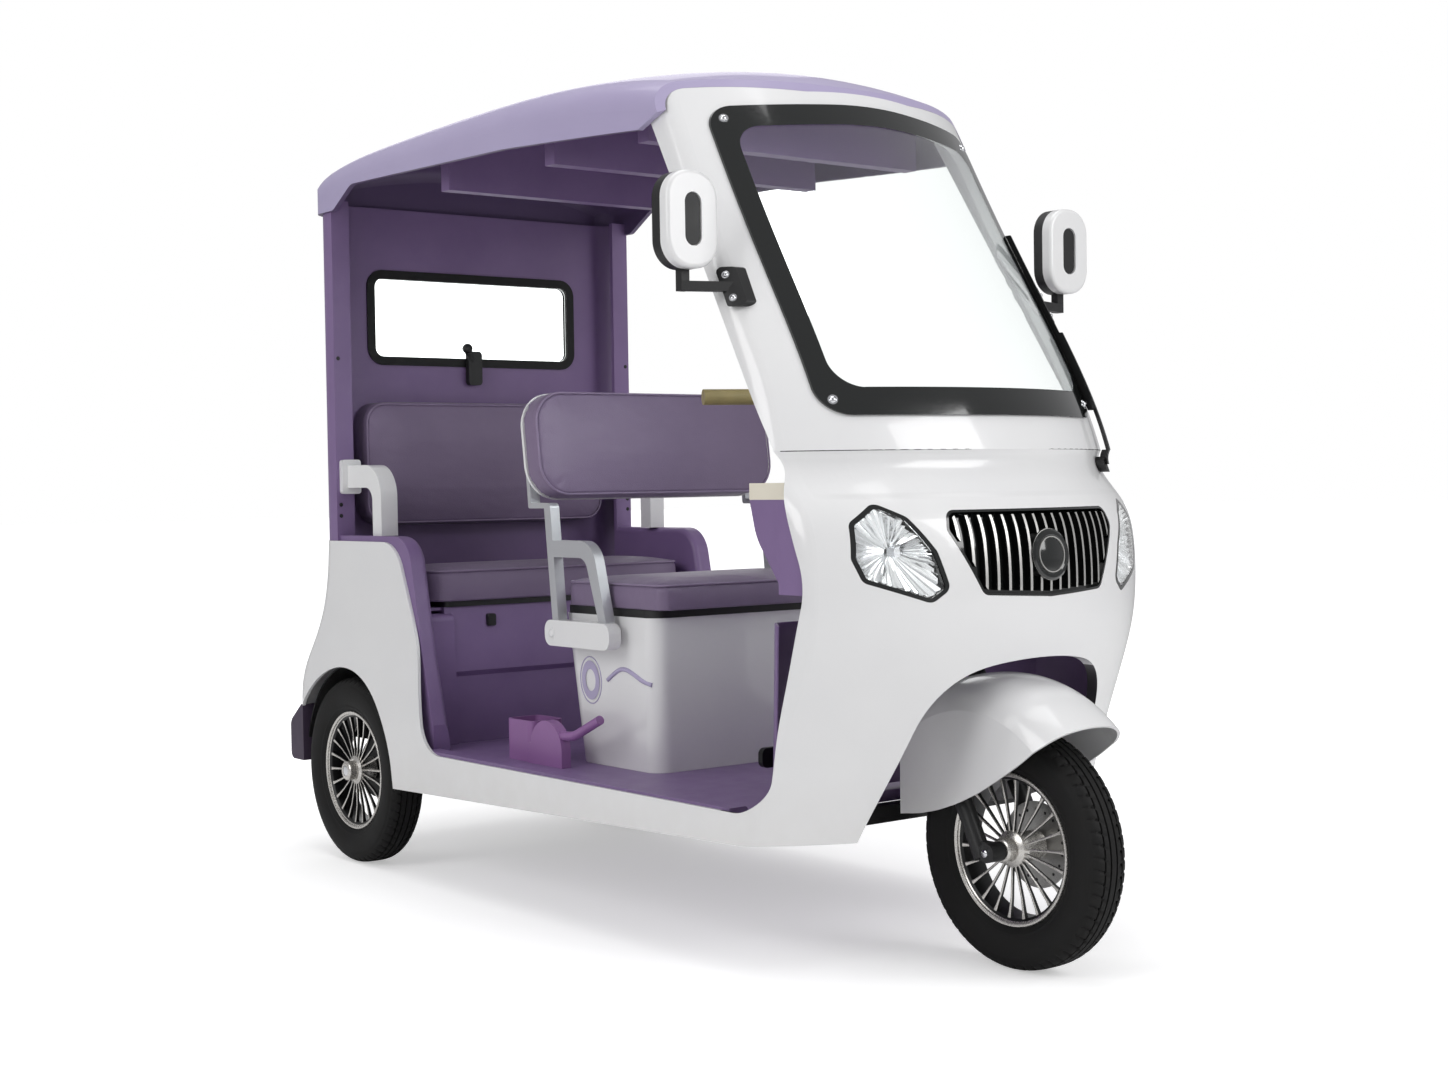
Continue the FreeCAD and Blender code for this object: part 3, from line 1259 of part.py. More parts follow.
def floor_controls():
    """The parking brake lever between its cheeks, with an open tray beside it, and the brake pedal."""
    z0 = FLOOR_HEIGHT + SEAT_GAP
    x0 = REAR_AXLE_X + TRAY_X
    y0 = -TRAY_Y
    tray = rounded_block(x0, x0 + TRAY_LENGTH, y0, y0 + TRAY_WIDTH, z0, z0 + TRAY_HEIGHT, TRAY_WALL * 3, "z")
    tray = tray.cut(
        rounded_block(
            x0 + TRAY_WALL, x0 + TRAY_LENGTH - TRAY_WALL, y0 + TRAY_WALL, y0 + TRAY_WIDTH - TRAY_WALL,
            z0 + TRAY_WALL, z0 + TRAY_HEIGHT + OVERRUN, TRAY_WALL * 2, "z",
        )
    )
    lever_x = REAR_AXLE_X + LEVER_X
    cheek_y = y0 - CHEEK_THICKNESS / 4
    cheek = rod(
        Vec(lever_x, cheek_y, z0 + CHEEK_RISE), Vec(lever_x, cheek_y + CHEEK_THICKNESS, z0 + CHEEK_RISE), CHEEK_RADIUS
    ).common(block(-FAR, FAR, -FAR, FAR, z0, FAR))
    foot = block(
        lever_x - CHEEK_RADIUS, lever_x + CHEEK_RADIUS, cheek_y, cheek_y + CHEEK_THICKNESS, z0, z0 + CHEEK_RISE
    )
    web = block(x0 + TRAY_LENGTH - TRAY_WALL, lever_x, cheek_y, cheek_y + CHEEK_THICKNESS, z0, z0 + TRAY_HEIGHT / 2)
    lever = bent_tube(
        [
            Vec(lever_x, cheek_y + CHEEK_THICKNESS / 2, z0 + CHEEK_RADIUS),
            Vec(lever_x + LEVER_REACH / 2, cheek_y + CHEEK_THICKNESS / 2, z0 + CHEEK_RADIUS + LEVER_RISE / 5),
            Vec(lever_x + LEVER_REACH, cheek_y + CHEEK_THICKNESS / 2, z0 + CHEEK_RADIUS + LEVER_RISE),
        ],
        LEVER_RADIUS, LEVER_RADIUS * 4,
    )
    add("parking_brake", tray.fuse([cheek, foot, web, lever]).removeSplitter())
    pedal_x = REAR_AXLE_X + PEDAL_X
    pad = rounded_block(
        pedal_x, pedal_x + PEDAL_THICKNESS, -PEDAL_Y - PEDAL_HALF, -PEDAL_Y + PEDAL_HALF, PEDAL_HEIGHT,
        PEDAL_HEIGHT + PEDAL_HALF, PEDAL_THICKNESS, "x",
    )
    arm_top = Vec(pedal_x + PEDAL_THICKNESS, -PEDAL_Y, PEDAL_HEIGHT + PEDAL_HALF / 2)
    arm_foot = Vec(REAR_AXLE_X + FLOOR_FRONT - SEAT_GAP - PEDAL_THICKNESS, -PEDAL_Y, FLOOR_HEIGHT + PEDAL_THICKNESS)
    foot_block = block(
        arm_foot.x - PEDAL_THICKNESS, arm_foot.x + PEDAL_THICKNESS, -PEDAL_Y - PEDAL_THICKNESS,
        -PEDAL_Y + PEDAL_THICKNESS, z0, FLOOR_HEIGHT + PEDAL_THICKNESS * 2,
    )
    add("brake_pedal", pad.fuse([rod(arm_top, arm_foot, PEDAL_THICKNESS / 2), foot_block]).removeSplitter())


LEVER_REACH = 212.0
LEVER_RISE = 58.0
PEDAL_X = 1560.0
PEDAL_Y = 300.0
PEDAL_HALF = 42.0
PEDAL_HEIGHT = 400.0
PEDAL_THICKNESS = 14.0

# Mirrors and wiper
MIRROR_X = 1612.0
MIRROR_Y = 550.0
MIRROR_Z = 1530.0
MIRROR_WIDTH = 128.0
MIRROR_HEIGHT = 196.0
MIRROR_FRONT = 26.0
MIRROR_BACK = 27.0
MIRROR_SLOT_WIDTH = 42.0
MIRROR_SLOT_HEIGHT = 108.0
MIRROR_SLOT_DEPTH = 8.0
MIRROR_ARM_DROP = 43.0
MIRROR_ARM_SIZE = 20.0
MIRROR_BASE_X = 1642.0
MIRROR_BASE_LENGTH = 84.0
MIRROR_BASE_WIDTH = 34.0
MIRROR_BASE_THICKNESS = 16.0


def mirrors():
    """Door mirrors: white shells on black backs, with black arms bolted to the pillars."""
    x = REAR_AXLE_X + MIRROR_X
    y0, y1 = -MIRROR_Y - MIRROR_WIDTH / 2, -MIRROR_Y + MIRROR_WIDTH / 2
    z0, z1 = MIRROR_Z - MIRROR_HEIGHT / 2, MIRROR_Z + MIRROR_HEIGHT / 2
    corner = MIRROR_WIDTH / 2 - MIRROR_SLOT_DEPTH
    shell = rounded_block(x, x + MIRROR_FRONT, y0, y1, z0, z1, corner, "x")
    rim = [e for e in shell.Edges if e.BoundBox.XMin > x + MIRROR_FRONT - FIT_GAP]
    shell = shell.makeFillet(MIRROR_FRONT / 3, rim)
    slot = rounded_block(
        x + MIRROR_FRONT - MIRROR_SLOT_DEPTH, x + MIRROR_FRONT + OVERRUN, -MIRROR_Y - MIRROR_SLOT_WIDTH / 2,
        -MIRROR_Y + MIRROR_SLOT_WIDTH / 2, MIRROR_Z - MIRROR_SLOT_HEIGHT / 2, MIRROR_Z + MIRROR_SLOT_HEIGHT / 2,
        MIRROR_SLOT_WIDTH / 2 - FIT_GAP, "x",
    )
    shell = shell.cut(slot)
    back = rounded_block(x - MIRROR_BACK, x - SEAT_GAP, y0, y1, z0, z1, corner, "x")
    recess = rounded_block(
        x - MIRROR_BACK - OVERRUN, x - MIRROR_BACK + GLASS_RECESS, y0 + MIRROR_RIM, y1 - MIRROR_RIM, z0 + MIRROR_RIM,
        z1 - MIRROR_RIM, corner - MIRROR_RIM, "x",
    )
    back = back.cut(recess)
    glass = rounded_block(
        x - MIRROR_BACK + GLASS_RECESS / 3, x - MIRROR_BACK + GLASS_RECESS - SEAT_GAP, y0 + MIRROR_RIM + SEAT_GAP,
        y1 - MIRROR_RIM - SEAT_GAP, z0 + MIRROR_RIM + SEAT_GAP, z1 - MIRROR_RIM - SEAT_GAP,
        corner - MIRROR_RIM - SEAT_GAP, "x",
    )
    arm_x = x - MIRROR_BACK / 2
    size = MIRROR_ARM_SIZE
    elbow_z = z0 - MIRROR_ARM_DROP
    neck = block(arm_x - size / 2, arm_x + size / 2, -MIRROR_Y - size / 2, -MIRROR_Y + size / 2, elbow_z, z0 + corner / 2)
    base_x = REAR_AXLE_X + MIRROR_BASE_X
    pad_surface = upper_body(-SEAT_GAP)
    pad = upper_body(-MIRROR_BASE_THICKNESS).cut(pad_surface).common(
        side_slab(
            mirror_base_outline(base_x), MIRROR_BASE_WIDTH / 4, -HALF_BODY - OVERRUN, -HALF_BODY / 2
        )
    )
    reach = slab(
        [
            Vec(arm_x - size / 2, -MIRROR_Y - size / 2, elbow_z),
            Vec(arm_x + size / 2, -MIRROR_Y - size / 2, elbow_z),
            Vec(base_x + size / 2, -HALF_BODY + UPPER_NARROWING, elbow_z),
            Vec(base_x - size / 2, -HALF_BODY + UPPER_NARROWING, elbow_z),
        ],
        0, Vec(0, 0, size),
    ).cut(pad_surface)
    black = back.fuse([neck.cut(recess), largest(pad)[0], largest(reach)[0]]).removeSplitter()
    add("mirror_shells", *both(shell))
    add("mirror_arms", *both(largest(black)[0]))
    add("mirror_glasses", *both(glass))


GLASS_RECESS = 9.0
MIRROR_RIM = 7.0


def mirror_base_outline(base_x):
    """The mirror base's long pad, lying along the pillar."""
    half = MIRROR_BASE_LENGTH / 2
    lean = UPPER_LEAN / UPPER_HEIGHT
    z = MIRROR_Z - MIRROR_HEIGHT / 2 - MIRROR_ARM_DROP + MIRROR_ARM_SIZE / 2
    width = MIRROR_BASE_WIDTH / 2
    return [
        (base_x + lean * half - width, z - half),
        (base_x + lean * half + width, z - half),
        (base_x - lean * half + width, z + half),
        (base_x - lean * half - width, z + half),
    ]


WIPER_Y = 390.0
WIPER_PIVOT_Z = 1030.0
WIPER_ARM_TOP = 1225.0
WIPER_BLADE_BOTTOM = 1150.0
WIPER_BLADE_TOP = 1560.0
WIPER_STAND = 14.0


def wiper():
    """The wiper: a pivot cap below the glass, a tapered arm and a blade on the glass."""
    pivot_body = rod(Vec(NOSE_BACK_X, WIPER_Y, WIPER_PIVOT_Z), Vec(NOSE_FRONT_X, WIPER_Y, WIPER_PIVOT_Z), WIPER_PIVOT_R)
    cap = lower_body(-WIPER_CAP).cut(lower_body(-SEAT_GAP)).common(pivot_body)
    proud = SCREEN_STAND + SCREEN_THICKNESS + WIPER_STAND
    arm_shell = upper_body(-proud - WIPER_ARM_DEPTH).cut(upper_body(-proud))
    arm = arm_shell.common(
        front_slab(
            [
                (WIPER_Y - WIPER_PIVOT_R / 2, SEAM_HEIGHT),
                (WIPER_Y + WIPER_PIVOT_R / 2, SEAM_HEIGHT),
                (WIPER_Y + WIPER_BLADE_WIDTH / 2, WIPER_ARM_TOP + WIPER_PIVOT_R * 6),
                (WIPER_Y - WIPER_BLADE_WIDTH / 2, WIPER_ARM_TOP + WIPER_PIVOT_R * 6),
            ],
            0, NOSE_BACK_X - UPPER_LEAN, NOSE_FRONT_X,
        )
    )
    foot = lower_body(-proud - WIPER_ARM_DEPTH).cut(lower_body(-WIPER_CAP / 2)).common(
        front_slab(
            [
                (WIPER_Y - WIPER_PIVOT_R / 2, WIPER_PIVOT_Z),
                (WIPER_Y + WIPER_PIVOT_R / 2, WIPER_PIVOT_Z),
                (WIPER_Y + WIPER_PIVOT_R / 2, SEAM_HEIGHT),
                (WIPER_Y - WIPER_PIVOT_R / 2, SEAM_HEIGHT),
            ],
            0, NOSE_BACK_X, NOSE_FRONT_X,
        )
    )
    blade_shell = upper_body(-proud).cut(upper_body(-SCREEN_STAND - SCREEN_THICKNESS - SEAT_GAP))
    blade = blade_shell.common(
        block(
            NOSE_BACK_X - UPPER_LEAN, NOSE_FRONT_X, WIPER_Y - WIPER_BLADE_WIDTH / 2, WIPER_Y + WIPER_BLADE_WIDTH / 2,
            WIPER_BLADE_BOTTOM, WIPER_BLADE_TOP,
        )
    )
    add("wiper", largest(cap)[0].fuse([largest(arm)[0], largest(foot)[0], largest(blade)[0]]).removeSplitter())


WIPER_PIVOT_R = 17.0
WIPER_CAP = 22.0
WIPER_ARM_DEPTH = 8.0
WIPER_BLADE_WIDTH = 9.0

# Chassis frame
RAIL_SIZE = 36.0
FRAME_Y = 300.0
FRAME_FRONT = 1700.0
FRAME_KICK_START = 290.0
FRAME_KICK_END = 270.0
FRAME_KICK_HEIGHT = 90.0
FRAME_TAIL = 262.0
CROSS_SHARES = (0.02, 0.33, 0.66, 1.0)
HEAD_TUBE_RADIUS = 26.0
HEAD_TUBE_LENGTH = 210.0
RAKE = 27.0
FORK_OFFSET = 35.0
AXLE_LEAD = 30.0
DOWN_TUBE_RADIUS = 19.0
DOWN_TUBE_RISE = 150.0
DOWN_TUBE_BEND = 120.0
BUMPER_SPACING = 240.0
BUMPER_HOLE = 5.25


def steering_axis():
    """The steering axis: a point level with the front axle and the upward direction."""
    lean = math.radians(RAKE)
    x = FRONT_AXLE_X - (FORK_OFFSET + AXLE_LEAD) / math.cos(lean)
    return Vec(x, 0, TYRE_RADIUS), Vec(-math.sin(lean), 0, math.cos(lean))


def on_axis(distance, ahead=0.0, across=0.0):
    """A point in the steered frame: along the axis, ahead of it and to the left."""
    origin, up = steering_axis()
    forward = Vec(up.z, 0, -up.x)
    return origin + up * distance + forward * ahead + Vec(0, across, 0)


HEAD_LOW = 440.0


def chassis():
    """Steel frame: two kicked-up side rails, cross members, head tube and its struts."""
    z1 = FLOOR_UNDERSIDE - SEAT_GAP
    z0 = z1 - RAIL_SIZE
    x_front = REAR_AXLE_X + FRAME_FRONT
    half = RAIL_SIZE / 2
    outline = [
        (x_front, z0),
        (x_front, z1),
        (REAR_AXLE_X + FRAME_KICK_START, z1),
        (REAR_AXLE_X + FRAME_KICK_END, z1 + FRAME_KICK_HEIGHT),
        (REAR_AXLE_X - FRAME_TAIL, z1 + FRAME_KICK_HEIGHT),
        (REAR_AXLE_X - FRAME_TAIL, z0 + FRAME_KICK_HEIGHT),
        (REAR_AXLE_X + FRAME_KICK_END - RAIL_SIZE / 3, z0 + FRAME_KICK_HEIGHT),
        (REAR_AXLE_X + FRAME_KICK_START - RAIL_SIZE / 3, z0),
    ]
    right = side_slab(outline, 0, -FRAME_Y - half, -FRAME_Y + half)
    pieces = [mirrored(right)]
    span = FRAME_FRONT - RAIL_SIZE - FRAME_KICK_START
    for share in CROSS_SHARES:
        x = REAR_AXLE_X + FRAME_KICK_START + share * span
        pieces.append(block(x, x + RAIL_SIZE, -FRAME_Y, FRAME_Y, z0, z1))
    tail = REAR_AXLE_X - FRAME_TAIL
    pieces.append(block(tail, tail + RAIL_SIZE, -FRAME_Y, FRAME_Y, z0 + FRAME_KICK_HEIGHT, z1 + FRAME_KICK_HEIGHT))
    pieces.append(
        bent_tube(
            [
                Vec(x_front - half, 0, (z0 + z1) / 2),
                Vec(x_front - half, 0, FLOOR_HEIGHT + DOWN_TUBE_RISE),
                on_axis(HEAD_LOW + HEAD_TUBE_LENGTH * 3 / 4),
            ],
            DOWN_TUBE_RADIUS, DOWN_TUBE_BEND,
        )
    )
    frame = right.fuse(pieces)
    head = rod(on_axis(HEAD_LOW), on_axis(HEAD_LOW + HEAD_TUBE_LENGTH), HEAD_TUBE_RADIUS)
    bore = rod(
        on_axis(HEAD_LOW - OVERRUN), on_axis(HEAD_LOW + HEAD_TUBE_LENGTH + OVERRUN), STEM_RADIUS + STEM_GAP
    )
    frame = frame.fuse(head).cut(bore)
    hole_z = (z0 + z1) / 2 + FRAME_KICK_HEIGHT
    for side in (-1, 1):
        y = side * BUMPER_SPACING / 2
        frame = frame.cut(rod(Vec(tail - OVERRUN, y, hole_z), Vec(tail + RAIL_SIZE + OVERRUN, y, hole_z), BUMPER_HOLE))
    add("chassis_frame", *largest(frame.removeSplitter()))


STEM_RADIUS = 15.0
STEM_GAP = 0.3

# Fork, mudguard and handlebar
LEG_Y = 84.0
LEG_RADIUS = 19.0
CROWN_LOW = 398.0
CROWN_THICKNESS = 24.0
STEM_TOP = 800.0
GUARD_RADIUS = 344.0
GUARD_SET_BACK = 32.0
GUARD_LIFT = 13.0
GUARD_HALF = 122.0
GUARD_WALL = 5.0
BAR_RADIUS = 11.0
GRIP_RADIUS = 17.0
GRIP_LENGTH = 120.0
GRIP_Y = 362.0
GRIP_X = 1424.0
AXLE_RADIUS = 8.0
LEG_FOOT = 34.0


def fork():
    """Telescopic fork: two legs, crown, stem and axle lugs."""
    pieces = []
    for side in (-1, 1):
        y = side * LEG_Y
        low = on_axis(-LEG_FOOT, FORK_OFFSET, y)
        pieces.append(rod(on_axis(CROWN_LOW + CROWN_THICKNESS / 2, FORK_OFFSET, y), low, LEG_RADIUS))
        axle = Vec(FRONT_AXLE_X, y, TYRE_RADIUS)
        reach = Vec(0, LEG_RADIUS - SEAT_GAP, 0)
        pieces.append(rod(axle - reach, axle + reach, LUG_RADIUS))
        pieces.append(
            block(
                FRONT_AXLE_X - AXLE_LEAD, FRONT_AXLE_X, y - LEG_RADIUS / 2, y + LEG_RADIUS / 2,
                TYRE_RADIUS - LUG_RADIUS, TYRE_RADIUS + LUG_RADIUS,
            )
        )
    crown = rod(on_axis(CROWN_LOW), on_axis(CROWN_LOW + CROWN_THICKNESS), CROWN_RADIUS)
    wing_top = on_axis(CROWN_LOW + CROWN_THICKNESS, FORK_OFFSET, -LEG_Y)
    wing = rod(on_axis(CROWN_LOW, FORK_OFFSET, -LEG_Y), wing_top, LEG_RADIUS * 3 / 2)
    plate = slab(
        [
            on_axis(CROWN_LOW, -CROWN_RADIUS / 2, -LEG_Y),
            on_axis(CROWN_LOW, FORK_OFFSET + LEG_RADIUS, -LEG_Y),
            on_axis(CROWN_LOW, FORK_OFFSET + LEG_RADIUS, LEG_Y),
            on_axis(CROWN_LOW, -CROWN_RADIUS / 2, LEG_Y),
        ],
        0, steering_axis()[1] * CROWN_THICKNESS,
    )
    stem = rod(on_axis(CROWN_LOW), on_axis(STEM_TOP), STEM_RADIUS)
    pieces += [crown, wing, mirrored(wing), plate, stem]
    body = pieces[0].fuse(pieces[1:]).removeSplitter()
    axle_end = Vec(FRONT_AXLE_X, LEG_Y * 2, TYRE_RADIUS)
    bore = rod(Vec(FRONT_AXLE_X, -LEG_Y * 2, TYRE_RADIUS), axle_end, AXLE_RADIUS + STEM_GAP / 6)
    add("fork", *largest(body.cut(bore)))


LUG_RADIUS = 20.0
CROWN_RADIUS = 34.0


GUARD_CORE = 60.0
GUARD_SHOULDER = 70.0


def guard_profile(inset):
    """The mudguard's closed half section for a revolve: across and outwards, with a crowned top."""
    radius = GUARD_RADIUS - inset
    half = GUARD_HALF - inset
    base = guard_centre()
    crown = radius - GUARD_SHOULDER
    knee = half * KNEE_SHARE
    points = [
        Vec(0, -half, GUARD_CORE), Vec(0, -half, crown), Vec(0, -knee, radius - GUARD_SHOULDER / 4),
        Vec(0, 0, radius), Vec(0, knee, radius - GUARD_SHOULDER / 4), Vec(0, half, crown), Vec(0, half, GUARD_CORE),
    ]
    points = [base + p for p in points]
    top = Part.BSplineCurve()
    top.interpolate(points[1:6])
    edges = [
        Part.LineSegment(points[0], points[1]).toShape(), top.toShape(),
        Part.LineSegment(points[5], points[6]).toShape(), Part.LineSegment(points[6], points[0]).toShape(),
    ]
    return Part.Face(Part.Wire(edges))


KNEE_SHARE = 0.66


def guard_centre():
    """The centre of the mudguard's round crown, a little behind and above the axle."""
    return Vec(FRONT_AXLE_X - GUARD_SET_BACK, 0, TYRE_RADIUS + GUARD_LIFT)


def mudguard():
    """The white front mudguard: a crowned hood over the wheel, cut on a rising line at its foot."""
    axis_at = guard_centre()
    outer = guard_profile(0).revolve(axis_at, Vec(0, 1, 0), FULL_TURN)
    inner = guard_profile(GUARD_WALL).revolve(axis_at, Vec(0, 1, 0), FULL_TURN)
    hood = outer.cut(inner)
    rising = [(FRONT_AXLE_X + x * TYRE_RADIUS, z * TYRE_DIAMETER) for x, z in GUARD_EDGE_SHARES]
    radii = [0] + [GUARD_RADIUS] * (len(rising) - 2) + [0, 0, 0]
    above = [(rising[-1][0], TYRE_RADIUS * 3), (rising[0][0], TYRE_RADIUS * 3)]
    keep = side_slab(rising + above, radii, -GUARD_HALF * 2, GUARD_HALF * 2)
    hood = largest(hood.common(keep))[0]
    for side in (-1, 1):
        leg_top = on_axis(CROWN_LOW + OVERRUN, FORK_OFFSET, side * LEG_Y)
        hood = hood.cut(rod(leg_top, on_axis(0, FORK_OFFSET, side * LEG_Y), LEG_RADIUS + SEAT_GAP))
    hood = hood.cut(crown_space())
    add("front_mudguard", *largest(hood))


# The mudguard's lower edge in the side view: shares of the tyre's radius from the axle, and of its diameter
GUARD_EDGE_SHARES = (
    (-0.929, 0.612),
    (-0.700, 0.626),
    (-0.476, 0.653),
    (-0.242, 0.695),
    (-0.012, 0.749),
    (0.214, 0.814),
    (0.436, 0.883),
    (0.655, 0.962),
    (0.850, 1.050),
    (1.000, 1.140),
)
FULL_TURN = 360.0


def crown_space():
    """The room that the fork crown takes above the mudguard."""
    return rod(on_axis(CROWN_LOW - SEAT_GAP), on_axis(CROWN_LOW + OVERRUN), CROWN_RADIUS + LEG_Y)


def handlebar():
    """The bent handlebar on its clamp, with two grips and brake levers."""
    top = on_axis(STEM_TOP)
    up = steering_axis()[1]
    clamp = rod(top - up * CLAMP_HEIGHT / 2, top + up * CLAMP_HEIGHT, CLAMP_RADIUS)
    clamp = clamp.cut(rod(on_axis(0), top, STEM_RADIUS + STEM_GAP / 3))
    centre = top + up * CLAMP_HEIGHT / 2
    knee = Vec(centre.x - BAR_KNEE, -BAR_KNEE_Y, REAR_GRIP_Z)
    end = Vec(REAR_AXLE_X + GRIP_X, -GRIP_Y, REAR_GRIP_Z)
    points = [end, knee, centre + Vec(0, -CLAMP_RADIUS, 0), centre + Vec(0, CLAMP_RADIUS, 0)]
    points += [Vec(knee.x, -knee.y, knee.z), Vec(end.x, -end.y, end.z)]
    bar = bent_tube(points, BAR_RADIUS, BAR_BEND)
    body = bar.fuse(clamp).cut(rod(on_axis(0), top, STEM_RADIUS + STEM_GAP / 3)).removeSplitter()
    add("handlebar", *largest(body))
    way = (knee - end).normalize()
    grip = ring(end - way * GRIP_CAP, end + way * GRIP_LENGTH, GRIP_RADIUS, BAR_RADIUS + STEM_GAP / 3)
    cap = rod(end - way * GRIP_CAP, end - way * SEAT_GAP, GRIP_RADIUS)
    add("handlebar_grips", *both(grip.fuse(cap).removeSplitter()))


CLAMP_HEIGHT = 60.0
CLAMP_RADIUS = 30.0
BAR_KNEE = 20.0
BAR_KNEE_Y = 150.0
REAR_GRIP_Z = 1186.0
BAR_BEND = 40.0
GRIP_CAP = 6.0

# Wheels
RIM_RADIUS = 156.0
RIM_BED = 140.0
RIM_WALL = 6.0
RIM_WIDTH = 76.0
SPOKE_COUNT = 20
SPOKE_WIDTH = 6.0
SPOKE_DEPTH = 16.0
HUB_RADIUS = 31.0
HUB_OUT = 52.0
HUB_IN = 40.0
HUB_RIM = 38.0
DRUM_RADIUS = 78.0


def wheel_point(radius, across):
    """A point of a wheel's half section: the wheel turns about the Y axis through the origin."""
    return Vec(0, across, radius)


def revolved(points):
    """A closed polygon of (radius, across) turned about the wheel's axle."""
    vectors = [wheel_point(r, a) for r, a in points]
    wire = Part.makePolygon(vectors + vectors[:1])
    return Part.Face(wire).revolve(Vec(0, 0, 0), Vec(0, 1, 0), FULL_TURN)


def tyre():
    """A tyre: rounded tread, sidewalls and beads, in a few flat-sided bands."""
    half = TYRE_WIDTH / 2
    seat = RIM_BED + RIM_WALL + SEAT_GAP
    right = [
        (TYRE_RADIUS, half * 0.30), (TYRE_RADIUS * 0.985, half * 0.68), (TYRE_RADIUS * 0.945, half * 0.90),
        (TYRE_RADIUS * 0.84, half), (TYRE_RADIUS * 0.72, half * 0.90), (RIM_RADIUS + RIM_WALL, half * 0.70),
        (seat, half * 0.50),
    ]
    inner = [(seat, half * 0.36), (TYRE_RADIUS * 0.80, half * 0.80), (TYRE_RADIUS * 0.94, half * 0.30)]
    outline = right + inner
    outline += [(r, -a) for r, a in reversed(inner)] + [(r, -a) for r, a in reversed(right)]
    return revolved(outline)


def rim(hub_out, hub_in, bore):
    """A cast rim: rolled edge, bed, twenty thin spokes and a stepped hub. Outer face towards -Y."""
    half = RIM_WIDTH / 2
    bed = [
        (RIM_RADIUS, -half), (RIM_RADIUS, -half + RIM_WALL), (RIM_BED + RIM_WALL, -half + RIM_WALL * 2),
        (RIM_BED + RIM_WALL, half - RIM_WALL * 2), (RIM_RADIUS, half - RIM_WALL), (RIM_RADIUS, half),
        (RIM_RADIUS - RIM_WALL, half), (RIM_BED, half - RIM_WALL * 2), (RIM_BED, -half + RIM_WALL * 2),
        (RIM_RADIUS - RIM_WALL, -half),
    ]
    shell = revolved(bed)
    hub = revolved(
        [
            (bore, -hub_out), (HUB_RADIUS * 0.80, -hub_out), (HUB_RADIUS * 0.80, -half * 0.90),
            (HUB_RIM, -half * 0.70), (HUB_RIM, half * 0.20), (HUB_RADIUS, half * 0.30), (HUB_RADIUS, hub_in),
            (bore, hub_in),
        ]
    )
    spokes = []
    face = -half * 0.62
    for i in range(SPOKE_COUNT):
        spoke = side_free_block(
            HUB_RIM - RIM_WALL / 2, RIM_BED + RIM_WALL / 2, SPOKE_WIDTH, face - SPOKE_DEPTH / 2, face + SPOKE_DEPTH / 2
        )
        spoke.rotate(Vec(0, 0, 0), Vec(0, 1, 0), i * FULL_TURN / SPOKE_COUNT)
        spokes.append(spoke)
    return shell.fuse([hub] + spokes).removeSplitter()


def side_free_block(r0, r1, width, y0, y1):
    """A spoke standing on the wheel's Z axis, between two radii."""
    return block(-width / 2, width / 2, y0, y1, r0, r1)


def placed(shape, x, y):
    """A wheel part moved to its axle."""
    moved = shape.copy()
    moved.translate(Vec(x, y, TYRE_RADIUS))
    return moved


def wheels():
    """Three wheels on their axles, with the front brake disc and the rear axle beam."""
    rubber = tyre()
    front = rim(HUB_IN + FRONT_HUB_EXTRA, HUB_IN + FRONT_HUB_EXTRA, AXLE_RADIUS)
    disc_back = DISC_Y + DISC_THICKNESS
    disc = revolved([(HUB_RADIUS, DISC_Y), (DISC_RADIUS, DISC_Y), (DISC_RADIUS, disc_back), (HUB_RADIUS, disc_back)])
    axle = rod(Vec(0, -LEG_Y - LEG_RADIUS - RIM_WALL, 0), Vec(0, LEG_Y + LEG_RADIUS + RIM_WALL, 0), AXLE_RADIUS)
    front = front.fuse([disc, axle]).removeSplitter()
    add("front_tyre", placed(rubber, FRONT_AXLE_X, 0))
    add("front_rim", placed(front, FRONT_AXLE_X, 0))
    rear = rim(HUB_OUT + RUNNING_GAP, HUB_IN / 2, AXLE_BORE)
    cap_out = -HUB_OUT - RUNNING_GAP
    cap = revolved([(0, cap_out), (AXLE_BORE, cap_out), (AXLE_BORE, -HUB_OUT), (0, -HUB_OUT)])
    rear = rear.fuse(cap).removeSplitter()
    for side, tag in ((-1, "right"), (1, "left")):
        shape = rear if side < 0 else mirrored(rear)
        add("rear_tyre_" + tag, placed(rubber, REAR_AXLE_X, side * HALF_TRACK))
        add("rear_rim_" + tag, placed(shape, REAR_AXLE_X, side * HALF_TRACK))
    beam_y = HALF_TRACK - HUB_IN / 2 - RUNNING_GAP
    centre = Vec(REAR_AXLE_X, 0, TYRE_RADIUS)
    beam = rod(centre - Vec(0, beam_y, 0), centre + Vec(0, beam_y, 0), BEAM_RADIUS)
    spindle_end = Vec(0, HALF_TRACK + HUB_OUT - RUNNING_GAP, 0)
    spindle = rod(centre - spindle_end, centre + spindle_end, AXLE_BORE - AXLE_GAP)
    case = rod(centre - Vec(0, CASE_HALF, 0), centre + Vec(0, CASE_HALF, 0), CASE_RADIUS)
    motor_at = centre + Vec(MOTOR_AHEAD, 0, 0)
    motor = rod(motor_at - Vec(0, CASE_HALF, 0), motor_at + Vec(0, MOTOR_LENGTH, 0), MOTOR_RADIUS)
    drums = []
    for side in (-1, 1):
        inner_end = centre + Vec(0, side * (beam_y - DRUM_WIDTH), 0)
        drums.append(rod(inner_end, centre + Vec(0, side * beam_y, 0), DRUM_RADIUS))
    add("rear_axle", beam.fuse([spindle, case, motor] + drums).removeSplitter())


